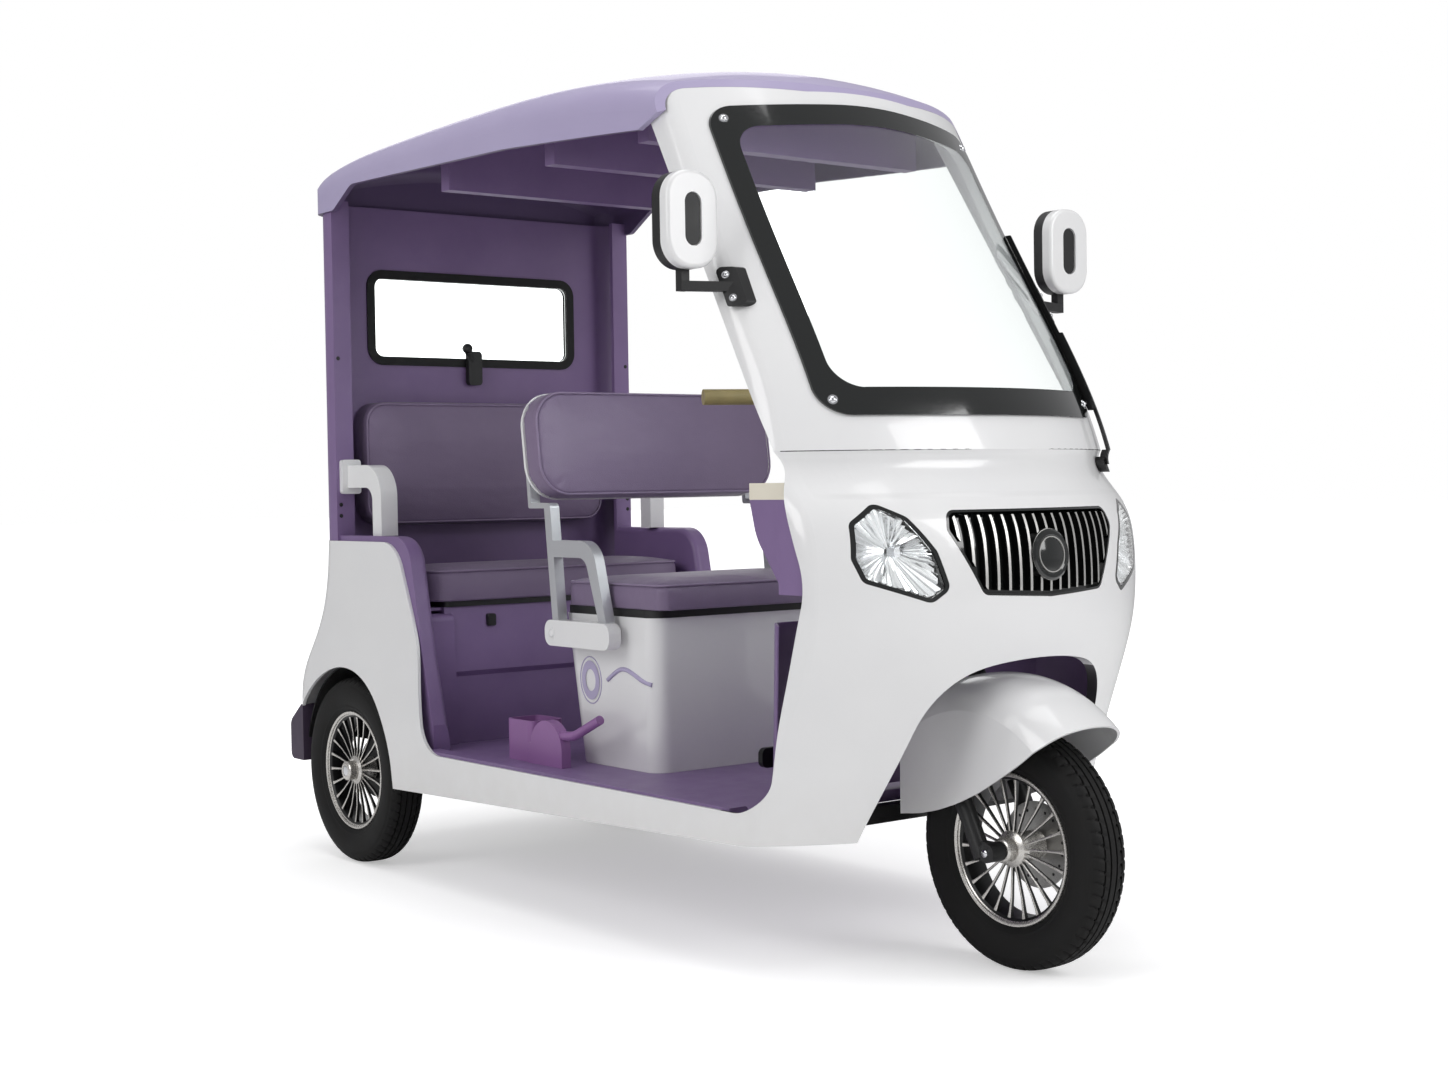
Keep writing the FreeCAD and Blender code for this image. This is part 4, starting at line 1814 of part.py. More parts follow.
FRONT_HUB_EXTRA = 16.0
DISC_Y = 44.0
DISC_THICKNESS = 4.0
DISC_RADIUS = 90.0
AXLE_BORE = 14.0
AXLE_GAP = 0.05
BEAM_RADIUS = 27.0
CASE_HALF = 60.0
CASE_RADIUS = 75.0
MOTOR_AHEAD = 120.0
MOTOR_RADIUS = 72.0
MOTOR_LENGTH = 130.0
DRUM_WIDTH = 26.0

# Leaf springs
LEAF_WIDTH = 44.0
LEAF_THICKNESS = 7.0
LEAF_COUNT = 4
LEAF_RISE = 44.0
LEAF_HALF = 238.0
EYE_RADIUS = 15.0


def leaf_springs():
    """Leaf packs over the axle tubes, with an eye and a hanger at each end."""
    base = TYRE_RADIUS + BEAM_RADIUS + SEAT_GAP
    rail_z = FLOOR_UNDERSIDE - SEAT_GAP - RAIL_SIZE + FRAME_KICK_HEIGHT
    pieces = []
    for i in range(LEAF_COUNT):
        reach = LEAF_HALF * (1 - (LEAF_COUNT - 1 - i) * LEAF_STEP_SHARE)
        rise = LEAF_RISE * (reach / LEAF_HALF) ** 2
        low = base + i * LEAF_THICKNESS
        ends = [Vec(REAR_AXLE_X + s * reach, -FRAME_Y - LEAF_WIDTH / 2, low + rise) for s in (-1, 1)]
        middle = Vec(REAR_AXLE_X, -FRAME_Y - LEAF_WIDTH / 2, low)
        bottom = Part.Arc(ends[0], middle, ends[1]).toShape()
        up = Vec(0, 0, LEAF_THICKNESS)
        top = Part.Arc(ends[0] + up, middle + up, ends[1] + up).toShape()
        front_end = Part.LineSegment(ends[1], ends[1] + up).toShape()
        rear_end = Part.LineSegment(ends[0] + up, ends[0]).toShape()
        face = Part.Face(Part.Wire(Part.sortEdges([bottom, front_end, top, rear_end])[0]))
        pieces.append(face.extrude(Vec(0, LEAF_WIDTH, 0)))
    y0, y1 = -FRAME_Y - LEAF_WIDTH / 2, -FRAME_Y + LEAF_WIDTH / 2
    for side in (-1, 1):
        x = REAR_AXLE_X + side * LEAF_HALF
        z = base + LEAF_RISE + (LEAF_COUNT - 1) * LEAF_THICKNESS + LEAF_THICKNESS / 2
        pieces.append(rod(Vec(x, y0, z), Vec(x, y1, z), EYE_RADIUS))
        pieces.append(block(x - EYE_RADIUS, x + EYE_RADIUS, y0, y1, z, rail_z - SEAT_GAP))
    spring = pieces[0].fuse(pieces[1:]).removeSplitter()
    add("leaf_springs", *both(largest(spring)[0]))


LEAF_STEP_SHARE = 0.2


def tail_lamps():
    """Red lamps set on the tail panel, left and right."""
    shell = lower_body(-LAMP_PROUD).cut(lower_body(-SEAT_GAP))
    body = rounded_block(
        -FAR, REAR_AXLE_X, -TAIL_LAMP_Y - TAIL_LAMP_WIDTH / 2, -TAIL_LAMP_Y + TAIL_LAMP_WIDTH / 2,
        TAIL_LAMP_Z, TAIL_LAMP_Z + TAIL_LAMP_HEIGHT, TAIL_LAMP_WIDTH / 4, "x",
    )
    lamp = largest(shell.common(body))[0]
    add("tail_lamps", *both(lamp))


LAMP_PROUD = 10.0
TAIL_LAMP_Y = 340.0
TAIL_LAMP_WIDTH = 80.0
TAIL_LAMP_HEIGHT = 130.0
TAIL_LAMP_Z = 660.0


def export_all():
    """Writes one STEP file for each node."""
    os.makedirs("parts", exist_ok=True)
    for node, shapes in sorted(parts.items()):
        solids = []
        for shape in shapes:
            solids.extend(shape.Solids)
        result = solids[0] if len(solids) == 1 else Part.makeCompound(solids)
        result.exportStep("parts/" + node + ".step")


def main():
    lower_panels()
    nose_lamps()
    windscreen()
    roof()
    rear_wall()
    floor()
    liners()
    wheel_wells()
    bench()
    rear_seat()
    rear_armrests()
    driver_box()
    backrest()
    dashboard()
    floor_controls()
    mirrors()
    wiper()
    chassis()
    fork()
    mudguard()
    handlebar()
    wheels()
    leaf_springs()
    tail_lamps()
    export_all()


main()
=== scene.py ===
"""A small electric passenger rickshaw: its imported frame, dressed in shells, cushions, lamps and wheels.

Lengths are in metres in the row frame: +X forward, +Y to the vehicle's left, +Z up. The profiles of turned
parts are in millimetres, each point a radius and a place along the axle.
"""

from __future__ import annotations

import logging
import math
from dataclasses import dataclass, field
from enum import Enum
from typing import Callable, Sequence

import bmesh
import bpy
from mathutils import Matrix, Vector
from mathutils.bvhtree import BVHTree
from mathutils.kdtree import KDTree

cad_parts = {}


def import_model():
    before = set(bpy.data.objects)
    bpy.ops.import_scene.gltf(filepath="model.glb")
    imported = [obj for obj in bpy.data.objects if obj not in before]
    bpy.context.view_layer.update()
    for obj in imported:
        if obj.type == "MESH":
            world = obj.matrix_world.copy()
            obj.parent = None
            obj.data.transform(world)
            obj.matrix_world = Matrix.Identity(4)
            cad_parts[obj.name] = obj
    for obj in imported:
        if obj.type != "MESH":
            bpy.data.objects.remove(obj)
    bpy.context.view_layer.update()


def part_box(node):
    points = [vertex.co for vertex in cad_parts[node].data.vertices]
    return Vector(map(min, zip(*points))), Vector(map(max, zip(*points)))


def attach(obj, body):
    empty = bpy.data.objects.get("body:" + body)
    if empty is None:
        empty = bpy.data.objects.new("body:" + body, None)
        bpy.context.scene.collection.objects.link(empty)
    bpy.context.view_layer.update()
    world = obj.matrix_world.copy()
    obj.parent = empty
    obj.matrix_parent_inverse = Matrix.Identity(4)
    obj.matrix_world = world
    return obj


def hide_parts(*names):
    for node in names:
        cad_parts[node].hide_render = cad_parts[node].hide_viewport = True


LOG = logging.getLogger("rickshaw")
REAR_X = -0.9425
FRONT_X = 1.0475
AXLE_Z = 0.2475
HALF_TRACK = 0.446
CENTRE = (0.0, 0.0, 0.0)
BEYOND_NOSE = 2.0
BESIDE = 0.8
AXIS = 0.0001

Point = tuple[float, float, float]
Pair = tuple[float, float]
Piece = bpy.types.Object
Tree = bpy.types.NodeTree
Node = bpy.types.Node
Socket = bpy.types.NodeSocket


class Side(Enum):
    """A side of the vehicle, as the sign of Y."""

    RIGHT = -1
    LEFT = 1

    @property
    def word(self) -> str:
        """The side's name in a piece's name."""
        return self.name.lower()


def linear(code: str) -> tuple[float, float, float, float]:
    """Turns an sRGB hex colour such as "#A0B1C2" into linear RGBA, with an alpha of one."""
    parts = [int(code[i : i + 2], 16) / 255 for i in (1, 3, 5)]
    bent = [c / 12.92 if c <= 0.04045 else ((c + 0.055) / 1.055) ** 2.4 for c in parts]
    return (bent[0], bent[1], bent[2], 1.0)


def blank_tree(owner: bpy.types.Material | bpy.types.World) -> Tree:
    """The emptied node tree of a material or the world."""
    owner.use_nodes = True
    owner.node_tree.nodes.clear()
    return owner.node_tree


def feed(tree: Tree, node: Node, inputs: dict) -> None:
    """Sets a node's inputs to values, or links them to output sockets."""
    for key, value in inputs.items():
        if isinstance(value, Socket):
            tree.links.new(value, node.inputs[key])
        else:
            node.inputs[key].default_value = value


def add_node(tree: Tree, kind: str, settings: dict | None = None, inputs: dict | None = None) -> Node:
    """Adds a node with its settings, and sets or links its inputs.

    Args:
        tree: The shader or geometry tree.
        kind: The node's type name.
        settings: Attributes of the node.
        inputs: Socket name or number, to a value or an output socket.

    Returns:
        The node.
    """
    made = tree.nodes.new(kind)
    for key, value in (settings or {}).items():
        setattr(made, key, value)
    feed(tree, made, inputs or {})
    return made


def sum_node(tree: Tree, operation: str, *values: float | Socket) -> Socket:
    """A number that one math node works out from values or sockets."""
    return add_node(tree, "ShaderNodeMath", {"operation": operation}, dict(enumerate(values))).outputs[0]


def remap(tree: Tree, value: Socket, end: Pair, start: Pair = (0.0, 1.0), soft: bool = False) -> Socket:
    """A value carried from the start range to the end range, in a straight line or an S-curve."""
    kind = {"interpolation_type": "SMOOTHSTEP" if soft else "LINEAR"}
    inputs = {"Value": value, "From Min": start[0], "From Max": start[1], "To Min": end[0], "To Max": end[1]}
    return add_node(tree, "ShaderNodeMapRange", kind, inputs).outputs[0]


@dataclass(frozen=True)
class Paint:
    """The node tree of one material, with its shader, its output and the object's own coordinates."""

    tree: Tree
    shader: Node
    out: Node
    place: Socket

    def put(self, inputs: dict[str, object]) -> None:
        """Sets or links the shader's inputs."""
        feed(self.tree, self.shader, inputs)

    def fed(self, name: str) -> Socket:
        """What one of the shader's inputs is linked to."""
        return self.shader.inputs[name].links[0].from_socket

    def sum(self, operation: str, *values: float | Socket) -> Socket:
        """A number that one math node works out."""
        return sum_node(self.tree, operation, *values)

    def vector(self, operation: str, *values: Point | Socket) -> Node:
        """One vector math node."""
        return add_node(self.tree, "ShaderNodeVectorMath", {"operation": operation}, dict(enumerate(values)))

    def axis(self, name: str, vector: Socket | None = None) -> Socket:
        """One axis of the object's coordinates, or of another vector."""
        source = self.place if vector is None else vector
        return add_node(self.tree, "ShaderNodeSeparateXYZ", inputs={0: source}).outputs[name]

    def facing(self) -> Socket:
        """The surface's own normal."""
        return add_node(self.tree, "ShaderNodeTexCoord").outputs["Normal"]

    def stretched(self, scale: Point) -> Socket:
        """The object's coordinates, scaled along each axis."""
        inputs = {"Vector": self.place, "Scale": scale}
        return add_node(self.tree, "ShaderNodeMapping", inputs=inputs).outputs[0]

    def noise(self, size: float, detail: float = 3.0, place: Socket | None = None) -> Socket:
        """A noise pattern whose lumps are about size metres across."""
        source = self.place if place is None else place
        inputs = {"Vector": source, "Scale": 1 / size, "Detail": detail}
        return add_node(self.tree, "ShaderNodeTexNoise", inputs=inputs).outputs["Fac"]

    def between(self, factor: Socket, low: str, high: str) -> Socket:
        """A colour that runs from low to high over the middle of a factor."""
        ramp = add_node(self.tree, "ShaderNodeValToRGB", inputs={"Fac": factor})
        first, last = ramp.color_ramp.elements
        first.position, last.position = 0.3, 0.7
        first.color, last.color = linear(low), linear(high)
        return ramp.outputs["Color"]

    def mix(self, factor: Socket, first: Socket | Sequence[float], second: str) -> Socket:
        """The first colour, or the second where the factor is one."""
        inputs = {"Factor": factor, "A": first, "B": linear(second)}
        return add_node(self.tree, "ShaderNodeMix", {"data_type": "RGBA"}, inputs).outputs["Result"]

    def spread(self, factor: Socket, low: float, high: float) -> Socket:
        """A value that runs from low to high with a factor."""
        return remap(self.tree, factor, (low, high))

    def bump(self, height: Socket, depth: float, normal: Socket | None = None) -> Socket:
        """A bump of the given depth in metres, on top of another normal."""
        inputs = {"Height": height, "Distance": depth, "Strength": 1.0}
        if normal is not None:
            inputs["Normal"] = normal
        return add_node(self.tree, "ShaderNodeBump", inputs=inputs).outputs["Normal"]


@dataclass(frozen=True)
class Finish:
    """A finish: how one real surface was made, and what that gives the eye."""

    name: str
    colour: str
    roughness: float = 0.4

    def make(self) -> bpy.types.Material:
        """The material, made once."""
        found = bpy.data.materials.get(self.name)
        if found:
            return found
        material = bpy.data.materials.new(self.name)
        tree = blank_tree(material)
        shader = add_node(tree, "ShaderNodeBsdfPrincipled", inputs={"Roughness": self.roughness})
        out = add_node(tree, "ShaderNodeOutputMaterial", inputs={"Surface": shader.outputs[0]})
        self.dress(Paint(tree, shader, out, add_node(tree, "ShaderNodeTexCoord").outputs["Object"]))
        return material

    def dress(self, paint: Paint) -> None:
        """Sets the plain colour."""
        paint.put({"Base Color": linear(self.colour)})


@dataclass(frozen=True)
class Lacquer(Finish):
    """Gelcoat or enamel: a clear gloss over an even colour, with a faint ripple and road dust low down."""

    shade: str = "#DCDAD8"
    coat: float = 0.7
    dust: str = "#CBC7C0"
    ripple: float = 0.00012
    dust_share: float = 0.5
    dust_heights: Pair = (0.42, 0.2)

    def dress(self, paint: Paint) -> None:
        """Even colour with slow drift, dust near the ground, and orange peel under the clear coat."""
        drift = paint.between(paint.noise(0.35), self.colour, self.shade)
        low = remap(paint.tree, paint.axis("Z"), (0.0, self.dust_share), self.dust_heights)
        speck = paint.sum("MULTIPLY", low, paint.noise(0.05, 6.0))
        paint.put({
            "Base Color": paint.mix(speck, drift, self.dust),
            "Roughness": paint.spread(paint.noise(0.12), self.roughness * 0.85, self.roughness * 1.15),
            "Coat Weight": self.coat,
            "Coat Roughness": 0.06,
            "Normal": paint.bump(paint.noise(0.012), self.ripple),
        })


@dataclass(frozen=True)
class ShellSkin(Lacquer):
    """A shell's lacquered outside and its inside painted darker as painted shade, with a moulded crease at a
    height.
    """

    # The inside faces' colour, painted darker than the outside as painted shade.
    inside: str = "#5E4D70"
    middle: Point = (-0.25, 0.0, 1.62)
    crease: float = 0.0
    crease_depth: float = 0.004
    crease_half: float = 0.007
    crease_ends: Pair = (0.44, 0.36)

    def dress(self, paint: Paint) -> None:
        """Faces that look back at the shell's middle get a darker colour, painted shade for the shell's shaded
        inside.
        """
        super().dress(paint)
        away = paint.vector("SUBTRACT", paint.place, self.middle).outputs[0]
        inner = paint.sum("LESS_THAN", paint.vector("DOT_PRODUCT", away, paint.facing()).outputs["Value"], 0.0)
        paint.put({
            # The inside faces get the darker colour as painted shade, and lose the clear coat.
            "Base Color": paint.mix(inner, paint.fed("Base Color"), self.inside),
            "Coat Weight": paint.sum("MULTIPLY", paint.sum("SUBTRACT", 1.0, inner), self.coat),
        })
        if self.crease:
            self.press(paint)

    def press(self, paint: Paint) -> None:
        """The soft moulded crease that runs across the nose above the lamps and the grille."""
        heights = (self.crease - self.crease_half, self.crease + self.crease_half)
        rise = remap(paint.tree, paint.axis("Z"), (0.0, 1.0), heights, soft=True)
        fade = remap(paint.tree, paint.sum("ABSOLUTE", paint.axis("Y")), (0.0, 1.0), self.crease_ends)
        step = paint.sum("MULTIPLY", rise, fade)
        paint.put({"Normal": paint.bump(step, self.crease_depth, paint.fed("Normal"))})


@dataclass(frozen=True)
class Moulding(Finish):
    """Injection-moulded or rotomoulded plastic: an even satin with a fine pebbled skin."""

    shade: str = "#000000"
    grain: float = 0.0035
    depth: float = 0.00018

    def dress(self, paint: Paint) -> None:
        """Slow colour drift, scuffed roughness and a pebbled bump."""
        scuffs = paint.noise(0.05, 6.0)
        paint.put({
            "Base Color": paint.between(paint.noise(0.16, 5.0), self.colour, self.shade),
            "Roughness": paint.spread(scuffs, self.roughness * 0.8, min(1.0, self.roughness * 1.25)),
            # The real pebbling is about 1 mm, drawn coarser so that it shows at this distance.
            "Normal": paint.bump(paint.noise(self.grain, 2.0), self.depth),
        })


@dataclass(frozen=True)
class Leatherette(Finish):
    """PVC leather over foam: pebbled cells, soft drag wrinkles and a dull sheen."""

    shade: str = "#000000"
    cell: float = 0.0045

    def dress(self, paint: Paint) -> None:
        """Cell grain from Voronoi edges, wrinkles from stretched noise, and colour that drifts at random
        between two tones.
        """
        inputs = {"Vector": paint.place, "Scale": 1 / self.cell}
        cells = add_node(paint.tree, "ShaderNodeTexVoronoi", {"feature": "DISTANCE_TO_EDGE"}, inputs)
        grain = paint.bump(paint.spread(cells.outputs["Distance"], 0.0, 1.0), 0.0005)
        wrinkles = paint.noise(0.07, 2.0, paint.stretched((1.0, 0.45, 1.0)))
        paint.put({
            "Base Color": paint.between(paint.noise(0.22, 6.0), self.colour, self.shade),
            "Normal": paint.bump(wrinkles, 0.004, grain),
            "Roughness": paint.spread(paint.noise(0.03, 4.0), self.roughness * 0.85, self.roughness * 1.15),
            "Sheen Weight": 0.12,
            "Sheen Roughness": 0.45,
        })


@dataclass(frozen=True)
class Metal(Finish):
    """Machined, plated or painted metal, with fine tool marks."""

    metallic: float = 1.0
    marks: float = 0.0006

    def dress(self, paint: Paint) -> None:
        """Even metal whose roughness follows its marks."""
        lines = paint.noise(self.marks * 6, 4.0)
        paint.put({
            "Base Color": linear(self.colour),
            "Metallic": self.metallic,
            "Roughness": paint.spread(lines, self.roughness * 0.7, self.roughness * 1.3),
            "Normal": paint.bump(lines, 0.00004),
        })


@dataclass(frozen=True)
class TippedBars(Metal):
    """Grille bars: satin metal on the faces that look forward, black lacquer on their flanks."""

    flank: str = "#080909"

    def dress(self, paint: Paint) -> None:
        """The forward share of the normal picks metal or lacquer."""
        super().dress(paint)
        tip = paint.sum("GREATER_THAN", paint.axis("X", paint.facing()), 0.6)
        paint.put({
            "Base Color": paint.mix(tip, linear(self.flank), self.colour),
            "Metallic": paint.spread(tip, 0.0, self.metallic),
        })


@dataclass(frozen=True)
class Clear(Finish):
    """Laminated glass or polycarbonate: see-through, with a hard reflection."""

    ior: float = 1.45
    smear: float = 0.03

    def dress(self, paint: Paint) -> None:
        """Clear transmission, faint smears, and light let through in shadows."""
        paint.put({
            "Base Color": linear(self.colour),
            "Transmission Weight": 1.0,
            "IOR": self.ior,
            "Roughness": paint.spread(paint.noise(0.08, 5.0), 0.0, self.smear),
        })
        ray = add_node(paint.tree, "ShaderNodeLightPath").outputs["Is Shadow Ray"]
        let_through = add_node(paint.tree, "ShaderNodeBsdfTransparent", inputs={"Color": linear("#EEF2F2")})
        inputs = {0: ray, 1: paint.shader.outputs[0], 2: let_through.outputs[0]}
        mixed = add_node(paint.tree, "ShaderNodeMixShader", inputs=inputs)
        feed(paint.tree, paint.out, {"Surface": mixed.outputs[0]})


@dataclass(frozen=True)
class Rubber(Finish):
    """Vulcanised rubber: near black, dull, with a trace of road dust."""

    dust: str = "#3A3836"

    def dress(self, paint: Paint) -> None:
        """Dark with dusty patches and a fine matt skin."""
        patch = paint.noise(0.06, 8.0)
        paint.put({
            "Base Color": paint.between(patch, self.colour, self.dust),
            "Roughness": paint.spread(patch, self.roughness * 0.85, self.roughness * 1.1),
            "Normal": paint.bump(paint.noise(0.003), 0.00015),
            "Specular IOR Level": 0.3,
        })


@dataclass(frozen=True)
class Lens(Finish):
    """Ribbed coloured acrylic over a lamp: glossy, with vertical flutes."""

    pitch: float = 0.008

    def dress(self, paint: Paint) -> None:
        """Fluted gloss with a little light held inside."""
        # The wave texture repeats about every 0.314 of its scaled coordinates.
        inputs = {"Vector": paint.place, "Scale": 0.314 / self.pitch}
        wave = add_node(paint.tree, "ShaderNodeTexWave", {"bands_direction": "Y"}, inputs)
        paint.put({
            "Base Color": linear(self.colour),
            "Coat Weight": 1.0,
            "Subsurface Weight": 0.2,
            "Normal": paint.bump(wave.outputs["Fac"], 0.001),
        })


WHITE = Lacquer("white_gelcoat", "#E9E9E9", 0.3, shade="#E4E4E5")
# The nose's near-black inside colour is painted shade for the dark inside of the shell.
WHITE_NOSE = ShellSkin(
    "white_nose_gelcoat", "#E9E9E9", 0.3, shade="#E4E4E5",
    inside="#1D1A20", middle=(0.8, 0.0, 0.72), crease=0.971,
)
# The roof's inside takes the darker default inside colour, as painted shade.
LILAC = ShellSkin("lilac_gelcoat", "#AFA6C6", 0.45, shade="#A89EC0", coat=0.25, dust="#AFA5C0")
LILAC_TRIM = Lacquer("lilac_trim_enamel", "#B4ABCB", 0.35, shade="#AEA5C6", coat=0.4, dust="#ABA3BC")
PURPLE = Moulding("purple_polyethylene", "#806994", 0.42, shade="#79628D")
FLAP = Moulding("dark_flap_rubber", "#463A4E", 0.5, shade="#403547")
TRAY_PURPLE = Moulding("violet_polypropylene", "#94699F", 0.36, shade="#8D6298")
MAUVE = Leatherette("mauve_leatherette", "#7C6C88", 0.5, shade="#756581")
PIPING = Leatherette("mauve_piping", "#8B7B98", 0.5, shade="#83738F", cell=0.003)
BLACK_PLASTIC = Moulding("black_abs", "#151516", 0.45, shade="#1B1B1C")
BLACK_GLOSS = Lacquer("black_acrylic", "#040807", 0.12, shade="#070B0A", coat=1.0, dust="#0A0D0C")
DARK_STEEL = Moulding("black_enamelled_steel", "#131314", 0.4, shade="#1B1B1C", grain=0.006)
# Real rubber seals, and also the nose seam's painted shadow line.
SEAL_AND_SEAM_SHADOW = Rubber("epdm_rubber", "#0C0C0D", 0.5, dust="#141415")
TYRE = Rubber("tyre_rubber", "#0B0B0C", 0.66, dust="#121110")
CHROME = Metal("bright_chrome", "#E4E5E8", 0.08)
SATIN = Metal("satin_chrome", "#C4C3C0", 0.36, metallic=0.75, marks=0.002)
BARS = TippedBars("tipped_grille_bars", "#C9C8C5", 0.34, metallic=0.75, marks=0.002)
GROUND = Metal("ground_steel", "#A9A8A6", 0.3, marks=0.0003)
SILVER = Metal("silver_enamel", "#C3C4C8", 0.38, metallic=0.55, marks=0.002)
ALLOY = Metal("diamond_cut_alloy", "#D9D6D1", 0.27, metallic=0.85, marks=0.0004)
# Black powder coat on the rims, and also the painted shade of the front disc's holes.
RIM_BLACK_AND_HOLE_SHADE = Moulding("black_powder_coat", "#101011", 0.34, shade="#161617")
REFLECTOR = Metal("aluminised_reflector", "#D9DADB", 0.1)
GLASS = Clear("laminated_glass", "#F7FBFA", 0.0)
LAMP_CLEAR = Clear("clear_polycarbonate", "#FDFEFE", 0.0, ior=1.4, smear=0.01)
RED = Lens("red_acrylic", "#8E0B12", 0.15)
CREAM = Moulding("cream_abs", "#E9E3D3", 0.36, shade="#E3DCCB")
TAN = Rubber("tan_grip_rubber", "#8E8159", 0.42, dust="#7F7350")
MIRROR = Metal("silvered_mirror", "#DADDE0", 0.03)

NODE_FINISHES: dict[Finish, tuple[str, ...]] = {
    WHITE: (
        "side_panel_right", "side_panel_left", "rear_panel", "windshield_frame", "rear_armrests",
        "seat_box", "backrest_shell", "seat_brackets", "mirror_shells", "front_mudguard",
    ),
    WHITE_NOSE: ("front_fascia",),
    LILAC: ("roof",),
    PURPLE: ("floor_pan", "roof_rails", "rear_wall", "side_liners", "rear_bench", "dash_pods"),
    FLAP: ("mudflaps",),
    TRAY_PURPLE: ("parking_brake",),
    MAUVE: ("rear_backrest", "driver_backrest", "driver_seat_cushion", "rear_seat_cushion"),
    BLACK_PLASTIC: (
        "rear_window_latch", "wheel_wells", "battery_pack", "mirror_arms", "wiper", "driver_seat_board",
        "rear_seat_board",
    ),
    BLACK_GLOSS: ("windshield_border", "headlamp_housings", "grille"),
    DARK_STEEL: ("chassis_frame", "fork", "rear_axle", "leaf_springs", "handlebar"),
    SEAL_AND_SEAM_SHADOW: ("rear_window_seal", "brake_pedal"),
    BARS: ("grille_bars",),
    SILVER: ("seat_stays",),
    GLASS: ("windshield_glass", "rear_window_glass"),
    LAMP_CLEAR: ("headlamp_lenses",),
    RED: ("tail_lamps",),
    CREAM: ("dash_tops",),
    TAN: ("handlebar_grips",),
    MIRROR: ("mirror_glasses",),
    TYRE: ("front_tyre", "rear_tyre_right", "rear_tyre_left"),
    ALLOY: ("front_rim", "rear_rim_right", "rear_rim_left"),
}


def new_object(name: str, data: bpy.types.ID) -> Piece:
    """An object at the origin, in the scene."""
    made = bpy.data.objects.new(name, data)
    bpy.context.scene.collection.objects.link(made)
    return made


def shade(piece: Piece, smooth: bool = True) -> None:
    """Shades every face smooth, or flat."""
    for face in piece.data.polygons:
        face.use_smooth = smooth


def mesh_object(
    name: str, points: Sequence[Sequence[float]], faces: Sequence[Sequence[int]], marks: Sequence[int] = ()
) -> Piece:
    """A mesh object from points and faces, with its normals outwards.

    Args:
        name: The piece's name.
        points: Places in the row frame.
        faces: Corner numbers of each face.
        marks: A material number for each face.

    Returns:
        The object, smooth shaded.
    """
    mesh = bpy.data.meshes.new(name)
    mesh.from_pydata([tuple(p) for p in points], [], [tuple(f) for f in faces])
    if marks:
        mesh.polygons.foreach_set("material_index", list(marks))
    work = bmesh.new()
    work.from_mesh(mesh)
    bmesh.ops.remove_doubles(work, verts=work.verts, dist=1e-6)
    bmesh.ops.recalc_face_normals(work, faces=work.faces)
    work.to_mesh(mesh)
    work.free()
    made = new_object(name, mesh)
    shade(made)
    return made


def sharpen(piece: Piece, degrees: float) -> Piece:
    """Keeps edges sharper than an angle hard in the shading."""
    piece.data.set_sharp_from_angle(angle=math.radians(degrees))
    return piece


def settle(piece: Piece) -> Piece:
    """Turns an object's evaluated shape into its own plain mesh, without modifiers."""
    bpy.context.view_layer.update()
    graph = bpy.context.evaluated_depsgraph_get()
    mesh = bpy.data.meshes.new_from_object(piece.evaluated_get(graph), depsgraph=graph)
    if piece.type == "MESH":
        piece.modifiers.clear()
        piece.data = mesh
        return piece
    name = piece.name
    bpy.data.objects.remove(piece)
    return new_object(name, mesh)


def deliver(
    piece: Piece, finishes: Sequence[Finish], body: str = "body", stands_for: Sequence[str] = ()
) -> Piece:
    """Gives a finished piece its materials, its body and the nodes that it stands for.

    Args:
        piece: The mesh object.
        finishes: One finish for each material number.
        body: The CAD body that it rides on.
        stands_for: CAD nodes that it replaces.

    Returns:
        The piece.
    """
    numbers = [0] * len(piece.data.polygons)
    piece.data.polygons.foreach_get("material_index", numbers)
    # Clearing the materials sets every face's number back to zero.
    piece.data.materials.clear()
    for finish in finishes:
        piece.data.materials.append(finish.make())
    if len(finishes) > 1:
        piece.data.polygons.foreach_set("material_index", numbers)
    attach(piece, body)
    if stands_for:
        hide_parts(*stands_for)
    LOG.info("%s rides on %s with %d faces", piece.name, body, len(piece.data.polygons))
    return piece


def grid(rows: int, count: int, round_rows: bool = False, round_points: bool = True) -> list[tuple[int, ...]]:
    """Faces between rows of points.

    Args:
        rows: How many rows there are.
        count: How many points a row has.
        round_rows: Whether the last row joins up with the first.
        round_points: Whether each row joins up with its start.

    Returns:
        The corner numbers of each face, row by row.
    """
    faces = []
    for i in range(rows if round_rows else rows - 1):
        here, beyond = i * count, (i + 1) % rows * count
        for j in range(count if round_points else count - 1):
            follow = (j + 1) % count
            faces.append((here + j, here + follow, beyond + follow, beyond + j))
    return faces


def lathe(
    name: str, profile: Sequence[Pair], centre: Point, steps: int, marks: Sequence[int] = (), outward: int = 1,
    cut: Callable[[int, float, float], float] | None = None,
) -> Piece:
    """A closed profile turned round the Y axis through a centre.

    Args:
        name: The piece's name.
        profile: Radius and place along Y, from the centre, in millimetres.
        centre: The axle's middle.
        steps: Flats round the circle.
        marks: A material number for each run of the profile.
        outward: The sign of Y on the side that the profile calls positive.
        cut: The depth cut from the surface at a step, a radius and a place along Y.

    Returns:
        The object.
    """
    loop = [(radius / 1000, across / 1000 * outward) for radius, across in profile]
    points = []
    for i in range(steps):
        turn = 2 * math.pi * i / steps
        for radius, across in loop:
            reach = radius - (cut(i, radius, across) if cut else 0.0)
            x, z = centre[0] + reach * math.sin(turn), centre[2] + reach * math.cos(turn)
            points.append((x, centre[1] + across, z))
    return mesh_object(name, points, grid(steps, len(loop), round_rows=True), list(marks) * steps)


